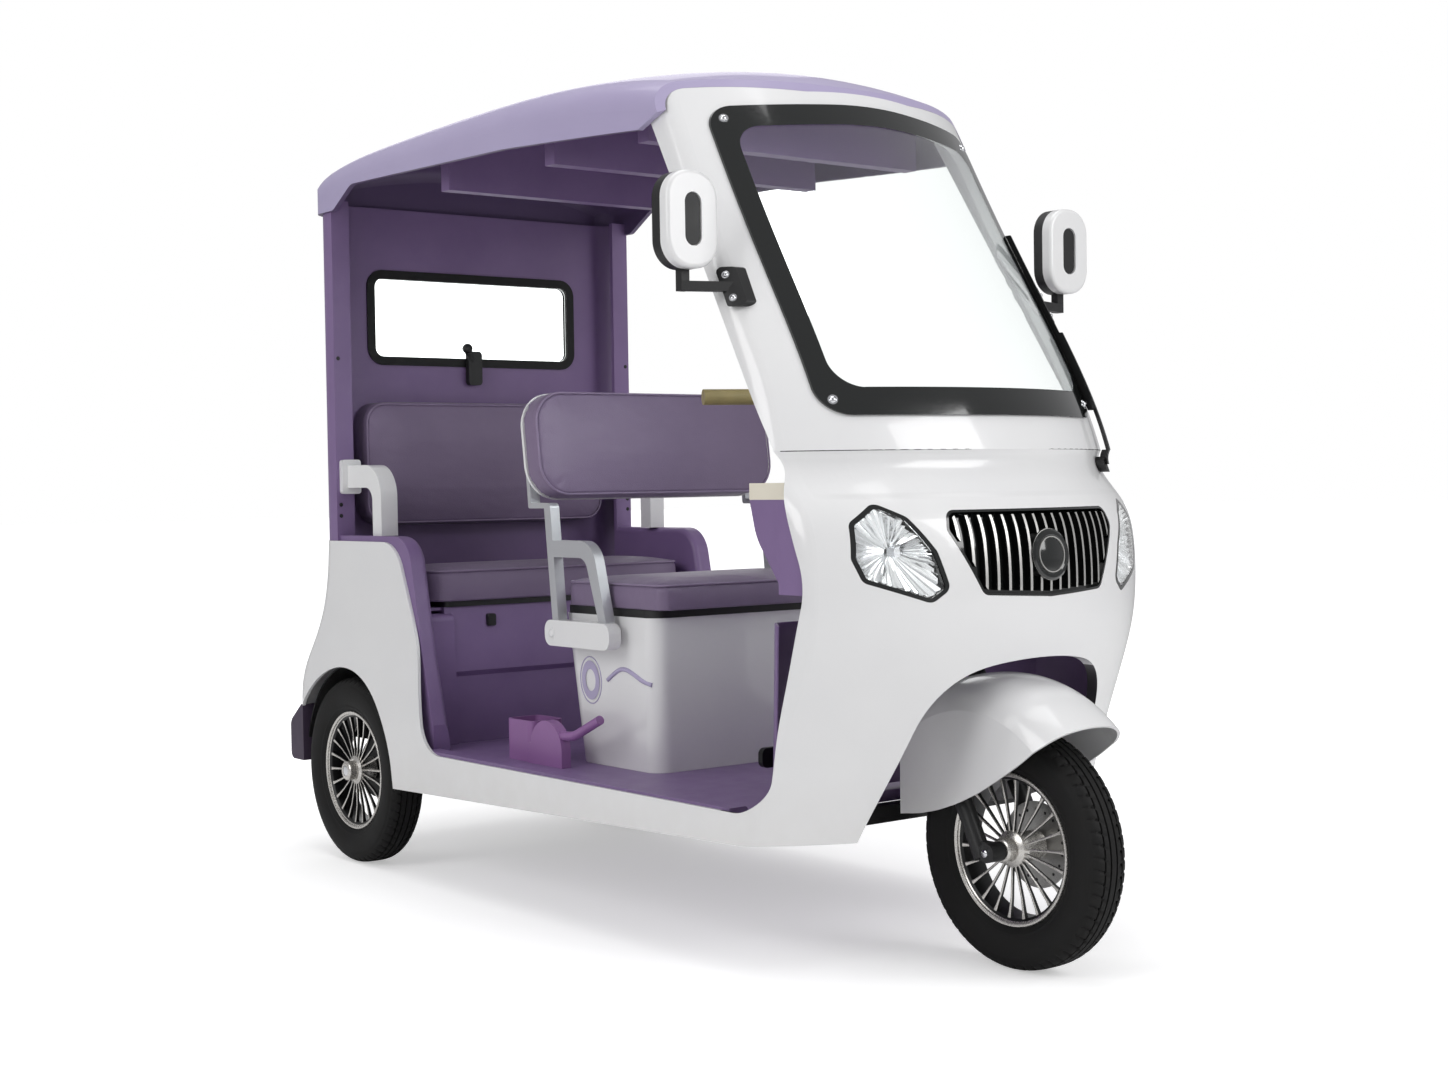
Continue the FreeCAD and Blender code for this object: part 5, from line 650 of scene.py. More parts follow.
def tube(
    name: str, points: Sequence[Sequence[float]], radius: float, closed: bool = False, soft: bool = False
) -> Piece:
    """A round tube along points.

    Args:
        name: The piece's name.
        points: Places in the row frame.
        radius: The tube's radius.
        closed: Whether it joins up with its start.
        soft: Whether the points are control points of a soft curve.

    Returns:
        The tube as a mesh object.
    """
    curve = bpy.data.curves.new(name, "CURVE")
    curve.dimensions = "3D"
    spline = curve.splines.new("NURBS" if soft else "POLY")
    spline.points.add(len(points) - 1)
    for spot, place in zip(spline.points, points):
        spot.co = (*place, 1.0)
    spline.use_cyclic_u = closed
    if soft:
        spline.order_u = 3
        spline.use_endpoint_u = not closed
    curve.bevel_depth = radius
    curve.bevel_resolution = 3
    curve.use_fill_caps = True
    made = settle(new_object(name, curve))
    shade(made)
    return made


def extruded(name: str, outline: Sequence[Sequence[float]], push: Sequence[float]) -> Piece:
    """A closed outline pushed along a vector into a plate."""
    count = len(outline)
    far = [Vector(p) + Vector(push) for p in outline]
    faces = [tuple(range(count)), tuple(range(count, 2 * count)), *grid(2, count)]
    return sharpen(mesh_object(name, [*outline, *far], faces), 35)


def joined(name: str, pieces: Sequence[Piece]) -> Piece:
    """Several mesh objects with the same materials, made one."""
    work = bmesh.new()
    for piece in pieces:
        work.from_mesh(piece.data)
        bpy.data.objects.remove(piece)
    mesh = bpy.data.meshes.new(name)
    work.to_mesh(mesh)
    work.free()
    return new_object(name, mesh)


def circle(count: int) -> list[Pair]:
    """The cosine and sine of even angles round a circle."""
    turns = [2 * math.pi * i / count for i in range(count)]
    return [(math.cos(t), math.sin(t)) for t in turns]


def rounded_loop(u0: float, u1: float, v0: float, v1: float, radius: float, steps: int = 8) -> list[Pair]:
    """Points round a rectangle with round corners."""
    loop = []
    left, right, low, high = u0 + radius, u1 - radius, v0 + radius, v1 - radius
    for cu, cv, start in ((right, high, 0), (left, high, 90), (left, low, 180), (right, low, 270)):
        for i in range(steps + 1):
            angle = math.radians(start + 90 * i / steps)
            loop.append((cu + radius * math.cos(angle), cv + radius * math.sin(angle)))
    return loop


class Skin:
    """The surface of a CAD node, for placing small parts on it."""

    def __init__(self, node: str) -> None:
        """Reads the node's mesh."""
        mesh = bpy.data.objects[node].data
        places = [v.co.copy() for v in mesh.vertices]
        self.tree = BVHTree.FromPolygons(places, [tuple(p.vertices) for p in mesh.polygons])

    def meet(self, start: Sequence[float], way: Sequence[float]) -> Vector | None:
        """The first place that a ray meets, if it meets one."""
        return self.tree.ray_cast(Vector(start), Vector(way))[0]

    def hit(self, start: Sequence[float], way: Sequence[float]) -> tuple[Vector, Vector]:
        """The first place that a ray meets, and the normal there, turned against the ray."""
        place, normal, _, _ = self.tree.ray_cast(Vector(start), Vector(way).normalized())
        if place is None:
            raise ValueError(f"no surface from {tuple(start)} towards {tuple(way)}")
        return place, normal if normal.dot(Vector(way)) < 0 else -normal

    def backward(self, x: float, y: float, z: float) -> tuple[Vector, Vector]:
        """The place and normal that a ray towards the rear meets."""
        return self.hit((x, y, z), (-1, 0, 0))

    def inward(self, x: float, z: float, side: Side, start: float = BESIDE) -> tuple[Vector, Vector]:
        """The place and normal that a ray from one side towards the middle meets."""
        return self.hit((x, side.value * start, z), (0, -side.value, 0))


class Repeats:
    """The Geometry Nodes trees that make what repeats."""

    WASHER_SHARE = 0.35
    DOME_SHARE = 0.72
    SOCKET_SHAPE = {"Vertices": 6, "Radius": 0.002, "Depth": 0.0006}

    @staticmethod
    def tree(name: str, inputs: dict[str, str]) -> tuple[Tree, dict[str, Socket], Node]:
        """A new tree with its named inputs, their sockets and its output node."""
        made = bpy.data.node_groups.new(name, "GeometryNodeTree")
        made.interface.new_socket(name="Geometry", in_out="INPUT", socket_type="NodeSocketGeometry")
        for label, kind in inputs.items():
            made.interface.new_socket(name=label, in_out="INPUT", socket_type=f"NodeSocket{kind}")
        made.interface.new_socket(name="Geometry", in_out="OUTPUT", socket_type="NodeSocketGeometry")
        return made, add_node(made, "NodeGroupInput").outputs, add_node(made, "NodeGroupOutput")

    @staticmethod
    def use(piece: Piece, tree: Tree, values: dict[str, object]) -> Piece:
        """Runs a tree on a piece with its inputs set, and settles the result."""
        modifier = piece.modifiers.new(tree.name, "NODES")
        modifier.node_group = tree
        for item in tree.interface.items_tree:
            if item.in_out == "INPUT" and item.name in values:
                modifier[item.identifier] = values[item.name]
        return settle(piece)

    @staticmethod
    def copies(tree: Tree, points: Socket, part: Socket, rotation: Socket) -> Socket:
        """A real copy of a part on each point."""
        inputs = {"Points": points, "Instance": part, "Rotation": rotation}
        placed = add_node(tree, "GeometryNodeInstanceOnPoints", inputs=inputs)
        return add_node(tree, "GeometryNodeRealizeInstances", inputs={0: placed.outputs[0]}).outputs[0]

    @staticmethod
    def moved(tree: Tree, shape: Socket, name: str, value: Socket) -> Socket:
        """A shape with one of its transform's inputs set."""
        return add_node(tree, "GeometryNodeTransform", inputs={"Geometry": shape, name: value}).outputs[0]

    @classmethod
    def ring_tree(cls) -> Tree:
        """The tree that copies a part round the Y axis through a centre."""
        kinds = {"Count": "Int", "Phase": "Float", "Centre": "Vector", "Finish": "Material", "Paint": "Bool"}
        tree, given, out = cls.tree("ring_of_parts", kinds)
        spots = add_node(tree, "GeometryNodePoints", inputs={"Count": given["Count"]})
        index = add_node(tree, "GeometryNodeInputIndex").outputs[0]
        share = sum_node(tree, "DIVIDE", index, given["Count"])
        turn = sum_node(tree, "MULTIPLY_ADD", share, 2 * math.pi, given["Phase"])
        spin = add_node(tree, "ShaderNodeCombineXYZ", inputs={"Y": turn}).outputs[0]
        real = cls.copies(tree, spots.outputs[0], given["Geometry"], spin)
        centred = cls.moved(tree, real, "Translation", given["Centre"])
        inputs = {"Geometry": centred, "Selection": given["Paint"], "Material": given["Finish"]}
        painted = add_node(tree, "GeometryNodeSetMaterial", inputs=inputs)
        feed(tree, out, {0: painted.outputs[0]})
        return tree

    @classmethod
    def ring(
        cls, piece: Piece, count: int, centre: Point, phase: float, finish: Finish, keep: bool = False
    ) -> Piece:
        """Copies a part that is made at the origin round the Y axis through a centre.

        Args:
            piece: One part, made with the axle at the origin.
            count: How many stand round the axle.
            centre: The axle's middle.
            phase: The turn of the first, in radians.
            finish: The finish that Set Material gives them.
            keep: Whether the part keeps its own material numbers.

        Returns:
            The settled ring.
        """
        tree = bpy.data.node_groups.get("ring_of_parts") or cls.ring_tree()
        values = {"Count": count, "Phase": phase, "Centre": centre, "Finish": finish.make(), "Paint": not keep}
        return cls.use(piece, tree, values)

    @classmethod
    def screw_head(cls, tree: Tree, given: dict[str, Socket]) -> Socket:
        """A washer under a flattened dome with a hexagonal socket."""
        low = sum_node(tree, "MULTIPLY", given["Height"], cls.WASHER_SHARE)
        inputs = {"Vertices": 24, "Radius": given["Radius"], "Depth": low}
        washer = add_node(tree, "GeometryNodeMeshCylinder", inputs=inputs).outputs[0]
        small = sum_node(tree, "MULTIPLY", given["Radius"], cls.DOME_SHARE)
        inputs = {"Segments": 20, "Rings": 10, "Radius": small}
        dome = add_node(tree, "GeometryNodeMeshUVSphere", inputs=inputs)
        flat = sum_node(tree, "DIVIDE", given["Height"], small)
        size = add_node(tree, "ShaderNodeCombineXYZ", inputs={"X": 1.0, "Y": 1.0, "Z": flat}).outputs[0]
        pressed = cls.moved(tree, dome.outputs[0], "Scale", size)
        socket = add_node(tree, "GeometryNodeMeshCylinder", inputs=cls.SOCKET_SHAPE)
        lift = add_node(tree, "ShaderNodeCombineXYZ", inputs={"Z": given["Height"]}).outputs[0]
        hexagon = cls.moved(tree, socket.outputs[0], "Translation", lift)
        head = add_node(tree, "GeometryNodeJoinGeometry")
        for part in (washer, pressed, hexagon):
            tree.links.new(part, head.inputs[0])
        return head.outputs[0]

    @classmethod
    def screw_tree(cls) -> Tree:
        """The tree that puts a screw head on each point, turned to its facing and rolled at random."""
        kinds = {"Radius": "Float", "Height": "Float", "Finish": "Material", "Seed": "Int"}
        tree, given, out = cls.tree("screw_heads", kinds)
        head = cls.screw_head(tree, given)
        names = {"data_type": "FLOAT_VECTOR"}
        facing = add_node(tree, "GeometryNodeInputNamedAttribute", names, {"Name": "facing"})
        towards = {"Vector": facing.outputs[0]}
        align = add_node(tree, "FunctionNodeAlignRotationToVector", {"axis": "Z"}, towards)
        draws = {"Max": 6.28, "Seed": given["Seed"]}
        roll = add_node(tree, "FunctionNodeRandomValue", {"data_type": "FLOAT"}, draws)
        spin = add_node(tree, "ShaderNodeCombineXYZ", inputs={"Z": roll.outputs[1]})
        turns = {0: align.outputs[0], 1: spin.outputs[0]}
        turned = add_node(tree, "FunctionNodeRotateRotation", {"rotation_space": "LOCAL"}, turns)
        real = cls.copies(tree, given["Geometry"], head, turned.outputs[0])
        inputs = {"Geometry": real, "Material": given["Finish"]}
        painted = add_node(tree, "GeometryNodeSetMaterial", inputs=inputs)
        feed(tree, out, {0: painted.outputs[0]})
        return tree

    @classmethod
    def screws(
        cls, name: str, spots: Sequence[tuple[Vector, Vector]], size: Pair, finish: Finish
    ) -> None:
        """Domed screw heads with washers, one on each spot.

        Args:
            name: The piece's name.
            spots: Place and outward direction of each screw.
            size: The head's radius, and how far it stands out.
            finish: The screws' finish.
        """
        tree = bpy.data.node_groups.get("screw_heads") or cls.screw_tree()
        mesh = bpy.data.meshes.new(name)
        mesh.from_pydata([tuple(place) for place, _ in spots], [], [])
        facing = mesh.attributes.new("facing", "FLOAT_VECTOR", "POINT")
        for spot, (_, way) in zip(facing.data, spots):
            spot.vector = Vector(way).normalized()
        values = {"Radius": size[0], "Height": size[1], "Finish": finish.make(), "Seed": 7}
        piece = cls.use(new_object(name, mesh), tree, values)
        shade(piece)
        deliver(sharpen(piece, 40), [finish])


@dataclass
class Studio:
    """The pale floor, the soft lamps, the world and the camera at the photograph's angle."""

    place: Point = (3.89261, -2.974, 1.00049)
    turn: float = 52.10236
    tilt: float = 1.70467
    roll: float = -0.87988
    lens: float = 49.729
    sensor: float = 36.0
    floor_reach: float = 60.0
    glow: Pair = (0.42, 0.95)
    glow_from: Pair = (1.2, 3.6)

    def camera(self) -> None:
        """The camera, turned, tilted and rolled as the photograph's was."""
        a, t, r = (math.radians(x) for x in (self.turn, self.tilt, self.roll))
        ahead = Vector((-math.sin(a) * math.cos(t), math.cos(a) * math.cos(t), -math.sin(t)))
        right = Vector((math.cos(a), math.sin(a), 0))
        up = right.cross(ahead)
        across = right * math.cos(r) + up * math.sin(r)
        above = up * math.cos(r) - right * math.sin(r)
        data = bpy.data.cameras.new("camera")
        data.lens, data.sensor_width, data.clip_end = self.lens, self.sensor, 200.0
        made = new_object("camera", data)
        basis = Matrix((across, above, -ahead)).transposed().to_4x4()
        made.matrix_world = Matrix.Translation(self.place) @ basis
        bpy.context.scene.camera = made

    def lamp(self, name: str, place: Point, aim: Point, size: float, power: float) -> None:
        """A square soft lamp that looks at a point."""
        data = bpy.data.lights.new(name, "AREA")
        data.shape, data.size, data.energy = "SQUARE", size, power
        made = new_object(name, data)
        made.location = place
        made.rotation_euler = (Vector(aim) - Vector(place)).to_track_quat("-Z", "Y").to_euler()

    def seen(self, tree: Tree) -> tuple[Socket, Socket]:
        """One for camera rays and rays through glass, and one for rays through glass alone."""
        rays = add_node(tree, "ShaderNodeLightPath").outputs
        through = rays["Is Transmission Ray"]
        return sum_node(tree, "MAXIMUM", rays["Is Camera Ray"], through), through

    def world(self) -> None:
        """A soft grey surround that the camera sees as white, also through glass."""
        world = bpy.data.worlds.new("studio")
        bpy.context.scene.world = world
        tree = blank_tree(world)
        seen, through = self.seen(tree)
        soft = add_node(tree, "ShaderNodeBackground", inputs={"Color": linear("#F4F4F6"), "Strength": 0.4})
        # Glass takes a little light away, so what shows through it is a little brighter.
        brighter = sum_node(tree, "MULTIPLY_ADD", through, 0.12, 1.0)
        white = add_node(tree, "ShaderNodeBackground", inputs={"Color": (1, 1, 1, 1), "Strength": brighter})
        inputs = {0: seen, 1: soft.outputs[0], 2: white.outputs[0]}
        mixed = add_node(tree, "ShaderNodeMixShader", inputs=inputs)
        add_node(tree, "ShaderNodeOutputWorld", inputs={"Surface": mixed.outputs[0]})

    def floor(self) -> None:
        """A pale floor that fades to white and keeps the shadow."""
        mesh = bpy.data.meshes.new("floor")
        reach = self.floor_reach
        corners = [(-reach, -reach, 0), (reach, -reach, 0), (reach, reach, 0), (-reach, reach, 0)]
        mesh.from_pydata(corners, [], [(0, 1, 2, 3)])
        plane = new_object("floor", mesh)
        material = bpy.data.materials.new("pale_paper")
        tree = blank_tree(material)
        shader = add_node(tree, "ShaderNodeBsdfDiffuse", inputs={"Color": linear("#F2F2F2")}).outputs[0]
        place = add_node(tree, "ShaderNodeTexCoord").outputs["Object"]
        away = add_node(tree, "ShaderNodeVectorMath", {"operation": "LENGTH"}, {0: place}).outputs["Value"]
        rise = remap(tree, away, self.glow, self.glow_from, soft=True)
        glow = add_node(tree, "ShaderNodeEmission", inputs={"Strength": rise})
        both = add_node(tree, "ShaderNodeAddShader", inputs={0: shader, 1: glow.outputs[0]})
        inputs = {0: self.seen(tree)[0], 1: shader, 2: both.outputs[0]}
        mixed = add_node(tree, "ShaderNodeMixShader", inputs=inputs)
        add_node(tree, "ShaderNodeOutputMaterial", inputs={"Surface": mixed.outputs[0]})
        mesh.materials.append(material)

    def build(self) -> None:
        """Sets the whole stage."""
        bpy.context.scene.view_settings.view_transform = "Standard"
        self.camera()
        self.world()
        self.floor()
        self.lamp("front_box", (5.2, 1.4, 3.2), (0.6, 0.0, 0.9), 3.0, 125)
        self.lamp("side_box", (0.6, -5.6, 3.4), (0.0, 0.0, 0.8), 3.2, 105)
        self.lamp("top_box", (-0.2, -0.3, 5.6), (0.0, 0.0, 0.0), 4.2, 112)
        self.lamp("back_box", (-4.8, 2.6, 3.0), (0.0, 0.0, 1.0), 3.0, 40)


@dataclass
class Cushion:
    """A padded cushion: blown up by a cloth simulation from its CAD shape, seamed and piped."""

    node: str
    body: str
    seam: list[Vector]
    rest: Vector
    fill: float = 0.75
    voxel: float = 0.006
    cap: float = 0.009
    shrink: float = 0.003
    pressure: float = 4.0
    piping: float = 0.0026
    flat: float = 0.003
    foot: float = 0.004
    pin_share: float = 1.1
    piece: Piece | None = field(default=None, repr=False)
    base: Vector | None = None

    def start(self) -> None:
        """A clean voxel mesh of the CAD shape, slightly smaller, with its seam pinned."""
        mesh = bpy.data.objects[self.node].data.copy()
        self.base = self.rest * min(v.co.dot(self.rest) for v in mesh.vertices)
        work = bmesh.new()
        work.from_mesh(mesh)
        bmesh.ops.remove_doubles(work, verts=work.verts, dist=1e-5)
        work.to_mesh(mesh)
        work.free()
        piece = new_object(self.node + "_pad", mesh)
        even = piece.modifiers.new("even", "REMESH")
        even.mode, even.voxel_size = "VOXEL", self.voxel
        soft = piece.modifiers.new("soft", "SMOOTH")
        soft.iterations, soft.factor = 4, 0.5
        piece = settle(piece)
        piece.data.materials.clear()
        for spot in piece.data.vertices:
            if self.above(spot.co) > self.foot:
                spot.co -= spot.normal * self.shrink
        tree = KDTree(len(self.seam))
        for i, place in enumerate(self.seam):
            tree.insert(place, i)
        tree.balance()
        group = piece.vertex_groups.new(name="seam")
        for spot in piece.data.vertices:
            if tree.find(spot.co)[2] < self.voxel * self.pin_share or self.above(spot.co) < self.flat:
                group.add([spot.index], 1.0, "REPLACE")
        self.piece = piece

    def above(self, place: Vector) -> float:
        """The height of a place above the plane that the cushion lies on."""
        return (place - self.base).dot(self.rest)

    def blow(self, frames: int) -> None:
        """Adds the cloth with its pressure."""
        cloth = self.piece.modifiers.new("cloth", "CLOTH")
        cloth.settings.quality = 4
        cloth.settings.use_pressure = True
        cloth.settings.uniform_pressure_force = self.pressure
        cloth.settings.effector_weights.gravity = 0.0
        cloth.settings.vertex_group_mass = "seam"
        cloth.collision_settings.use_collision = False
        cloth.point_cache.frame_start, cloth.point_cache.frame_end = 1, frames

    def finish(self) -> None:
        """Caps the swelling, subdivides, and adds the piping along the seam."""
        before = [v.co.copy() for v in self.piece.data.vertices]
        if self.piece.modifiers:
            settle(self.piece)
        for spot, old in zip(self.piece.data.vertices, before):
            move = spot.co - old
            if move.length > self.cap:
                spot.co = old + move.normalized() * self.cap
        soft = self.piece.modifiers.new("round", "SUBSURF")
        soft.levels = soft.render_levels = 1
        settle(self.piece)
        shade(self.piece)
        pad = deliver(self.piece, [MAUVE], self.body, [self.node])
        deliver(tube(self.node + "_piping", self.seam, self.piping, closed=True), [PIPING], self.body)


@dataclass
class Upholstery:
    """The four cushions of the cabin, with their seams worked out from their CAD sizes."""

    seam_back: float = 0.009
    seat_inset: float = 0.006
    back_inset: float = 0.007
    pitch: float = 0.006
    lean: float = math.atan2(0.034, 0.263)
    foot: Point = (REAR_X + 0.776, 0.0, 0.975)
    driver_half_width: float = 0.357
    driver_height: float = 0.263
    driver_corner: float = 0.077
    rear_corner: float = 0.053
    frames: int = 20

    def seat(self, node: str, body: str, corner: float) -> Cushion:
        """A seat cushion, seamed round its top edge."""
        low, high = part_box(node)
        inset = self.seat_inset
        loop = rounded_loop(low.x + inset, high.x - inset, low.y + inset, high.y - inset, corner - inset)
        seam = self.even([Vector((x, y, high.z - self.seam_back)) for x, y in loop])
        return Cushion(node, body, seam, Vector((0, 0, 1)))

    def rear_back(self) -> Cushion:
        """The upright rear back cushion, seamed round its front edge."""
        low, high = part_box("rear_backrest")
        inset = self.back_inset
        loop = rounded_loop(low.y + inset, high.y - inset, low.z + inset, high.z - inset, self.rear_corner)
        seam = self.even([Vector((high.x - self.seam_back, y, z)) for y, z in loop])
        return Cushion("rear_backrest", "body", seam, Vector((1, 0, 0)))

    def driver_back(self) -> Cushion:
        """The leaning driver's back cushion, seamed round its front edge."""
        cos, sin = math.cos(self.lean), math.sin(self.lean)
        half, low = self.driver_half_width, self.back_inset
        loop = rounded_loop(-half, half, low, self.driver_height - low, self.driver_corner)
        seam = []
        for y, z in loop:
            turned = Vector((-self.seam_back * cos - z * sin, y, z * cos - self.seam_back * sin))
            seam.append(Vector(self.foot) + turned)
        return Cushion("driver_backrest", "body", self.even(seam), Vector((cos, 0, sin)))

    def even(self, loop: list[Vector]) -> list[Vector]:
        """The loop with points no further apart than a pitch."""
        dense = []
        for here, beyond in zip(loop, loop[1:] + loop[:1]):
            parts = max(1, math.ceil((beyond - here).length / self.pitch))
            dense += [here.lerp(beyond, i / parts) for i in range(parts)]
        return dense

    def build(self) -> None:
        """Blows all the cushions up together, then finishes each."""
        cushions = [
            self.seat("driver_seat_cushion", "driver_seat_lid", 0.036),
            self.seat("rear_seat_cushion", "rear_seat_lid", 0.06),
            self.rear_back(),
            self.driver_back(),
        ]
        for cushion in cushions:
            cushion.start()
        for cushion in cushions:
            cushion.blow(self.frames)
        for frame in range(1, self.frames + 1):
            bpy.context.scene.frame_set(frame)
        for cushion in cushions:
            cushion.finish()
        bpy.context.scene.frame_set(1)


@dataclass
class Wheel:
    """A tubeless tyre with road tread on a thin-spoked alloy rim."""

    tag: str
    body: str
    centre: Point
    outward: int
    steps: int = 360
    sipe_pitch: int = 6
    spokes: int = 22
    disc_holes: int = 18
    groove: float = 0.004
    sipe_run: float = 0.0085
    sipe_stagger: int = 3
    sipe_band: Pair = (0.0107, 0.043)
    centre_band: float = 0.022
    centre_share: float = 0.75
    least_tread: float = 0.2365
    spoke_phase: float = 0.07

    @property
    def outer(self) -> int:
        """The sign of Y on the spokes' machined side."""
        return self.outward or -1

    def node(self, part: str) -> str:
        """The CAD node's name of a part of this wheel."""
        return f"front_{part}" if self.tag == "front" else f"rear_{part}_{self.tag.split('_')[1]}"

    def sipe(self, step: int, radius: float, across: float) -> float:
        """The depth of the slanted sipe at a place on the tread, or none."""
        lateral = abs(across)
        slant = int(lateral / self.sipe_run) + (self.sipe_stagger if across > 0 else 0)
        on_tread = self.sipe_band[0] < lateral < self.sipe_band[1] and radius > self.least_tread
        if not on_tread or (step + slant) % self.sipe_pitch:
            return 0.0
        return self.groove * (self.centre_share if lateral < self.centre_band else 1.0)

    def tread(self) -> None:
        """The tyre: ribs, round grooves and slanted sipes over smooth sidewalls."""
        half = [
            (247.4, 0.0), (247.4, 6.2), (243.2, 6.9), (243.2, 10.0), (247.3, 10.7), (247.2, 16.5),
            (246.8, 22.0), (242.6, 22.7), (242.4, 25.4), (246.2, 26.1), (245.0, 31.0), (242.7, 36.0),
            (239.0, 41.0), (234.2, 44.6), (229.6, 46.6), (226.8, 47.0), (225.8, 47.9), (217.0, 49.2),
            (207.0, 49.9), (197.0, 49.5), (186.5, 48.0), (177.5, 45.6), (172.5, 43.6), (170.9, 43.9),
            (168.0, 42.2), (163.6, 39.0), (160.6, 36.6), (158.2, 34.6), (153.0, 32.0), (146.6, 26.0),
            (146.6, 17.0), (199.0, 40.0), (232.0, 20.0),
        ]
        loop = half + [(radius, -across) for radius, across in reversed(half[1:])]
        piece = lathe(f"{self.tag}_tread_tyre", loop, self.centre, self.steps, cut=self.sipe)
        deliver(sharpen(piece, 34), [TYRE], self.body, [self.node("tyre")])

    def barrel(self) -> Piece:
        """The rim's barrel with rolled, machined lips."""
        half = [
            (140.0, 0.0), (140.0, 20.0), (141.5, 27.0), (147.0, 31.5), (149.6, 33.0), (150.4, 36.4),
            (153.2, 37.9), (156.6, 37.9), (157.8, 36.2), (157.4, 33.4), (151.0, 31.6), (146.2, 28.0),
            (146.2, 0.0),
        ]
        marks = [0] * 3 + [1] * 6 + [0] * 3
        loop = half + [(radius, -across) for radius, across in reversed(half[1:-1])]
        return lathe(f"{self.tag}_rim_barrel", loop, self.centre, 128, marks + marks[::-1])

    def spoke(self) -> Piece:
        """One tapered spoke at the origin: machined faces, black flanks."""
        # Radius, then width, outer face and thickness in millimetres.
        stations = (
            (0.033, 4.2, 27.0, 8.0), (0.06, 4.0, 25.0, 6.5), (0.1, 4.4, 24.0, 7.0), (0.13, 5.6, 26.5, 9.0),
            (0.1425, 8.2, 28.5, 11.0),
        )
        crown, taper, corners = 0.0008, 0.7, 5
        points = []
        for radius, width, face, deep in stations:
            w, y0, y1 = width / 2000, face / 1000 * self.outer, (face - deep) / 1000 * self.outer
            section = [(-w, y0), (0.0, y0 + crown * self.outer), (w, y0), (w * taper, y1), (-w * taper, y1)]
            points += [(x, y, radius) for x, y in section]
        faces = grid(len(stations), corners)
        marks = [1, 1, 0, 0, 0] * (len(stations) - 1) + [0, 0]
        faces += [tuple(range(corners)), tuple(range(len(points) - corners, len(points)))]
        made = sharpen(mesh_object(f"{self.tag}_spokes", points, faces, marks), 30)
        for finish in (RIM_BLACK_AND_HOLE_SHADE, ALLOY):
            made.data.materials.append(finish.make())
        return made

    def hub(self) -> Piece:
        """The ribbed hub sleeve with its flange."""
        front = self.outward == 0
        reach = 62.0 if front else 60.0
        bore = 8.2 if front else 14.2
        profile = [(bore, reach), (20.0, reach), (23.5, reach - 1.5)]
        first_rib, rib_pitch, ribs = 4.0, 4.2, 5
        for k in range(ribs):
            y = reach - first_rib - rib_pitch * k
            profile += [(25.5, y), (25.5, y - 2.6), (23.6, y - 3.0), (23.6, y - 3.8)]
        profile += [(30.0, 36.0), (37.5, 31.0), (38.0, 16.0), (31.0, 10.0), (31.0, -20.0)]
        profile += [(31.0, -reach + 22.0), (24.0, -reach), (bore, -reach)] if front else [(bore, -20.0)]
        return lathe(f"{self.tag}_hub", profile, self.centre, 64, [1] * len(profile), self.outer)

    def hub_cap(self) -> None:
        """The chrome cap of a rear wheel's hub."""
        cap = [(AXIS, 59.9), (9.0, 59.9), (13.2, 59.2), (13.9, 57.0), (13.9, 52.4), (AXIS, 52.4)]
        piece = lathe(f"{self.tag}_hub_cap", cap, self.centre, 48, outward=self.outer)
        deliver(sharpen(piece, 30), [CHROME], self.body)

    def axle(self) -> None:
        """The front wheel's axle pin and its brake disc, with black plugs that paint the dark of its drilled
        holes as painted shade.
        """
        half = [(7.95, 108.0), (7.6, 108.9), (AXIS, 108.9)]
        pin = [(radius, -across) for radius, across in reversed(half)] + half
        deliver(lathe("front_axle_pin", pin, self.centre, 40), [CHROME], self.body)
        near, far, hole_circle = 44.0, 48.0, 72.0
        section = [(30.0, near), (89.6, near), (89.6, far), (30.0, far)]
        disc = lathe("front_brake_disc", section, self.centre, 96)
        deliver(sharpen(disc, 30), [GROUND], self.body)
        # The holes are not cut: black plugs stand in for them as painted shade.
        plug = [(AXIS, -0.1), (3.4, -0.1), (3.4, 4.1), (AXIS, 4.1)]
        hole = lathe("front_disc_holes", plug, (0.0, near / 1000, hole_circle / 1000), 12)
        deliver(Repeats.ring(hole, self.disc_holes, self.centre, 0.0, RIM_BLACK_AND_HOLE_SHADE), [RIM_BLACK_AND_HOLE_SHADE], self.body)

    def build(self) -> None:
        """Makes the wheel."""
        self.tread()
        deliver(sharpen(self.barrel(), 30), [RIM_BLACK_AND_HOLE_SHADE, ALLOY], self.body, [self.node("rim")])
        spokes = Repeats.ring(self.spoke(), self.spokes, self.centre, self.spoke_phase, ALLOY, keep=True)
        deliver(spokes, [RIM_BLACK_AND_HOLE_SHADE, ALLOY], self.body)
        deliver(sharpen(self.hub(), 30), [RIM_BLACK_AND_HOLE_SHADE, ALLOY], self.body)
        if self.outward:
            self.hub_cap()
        else:
            self.axle()


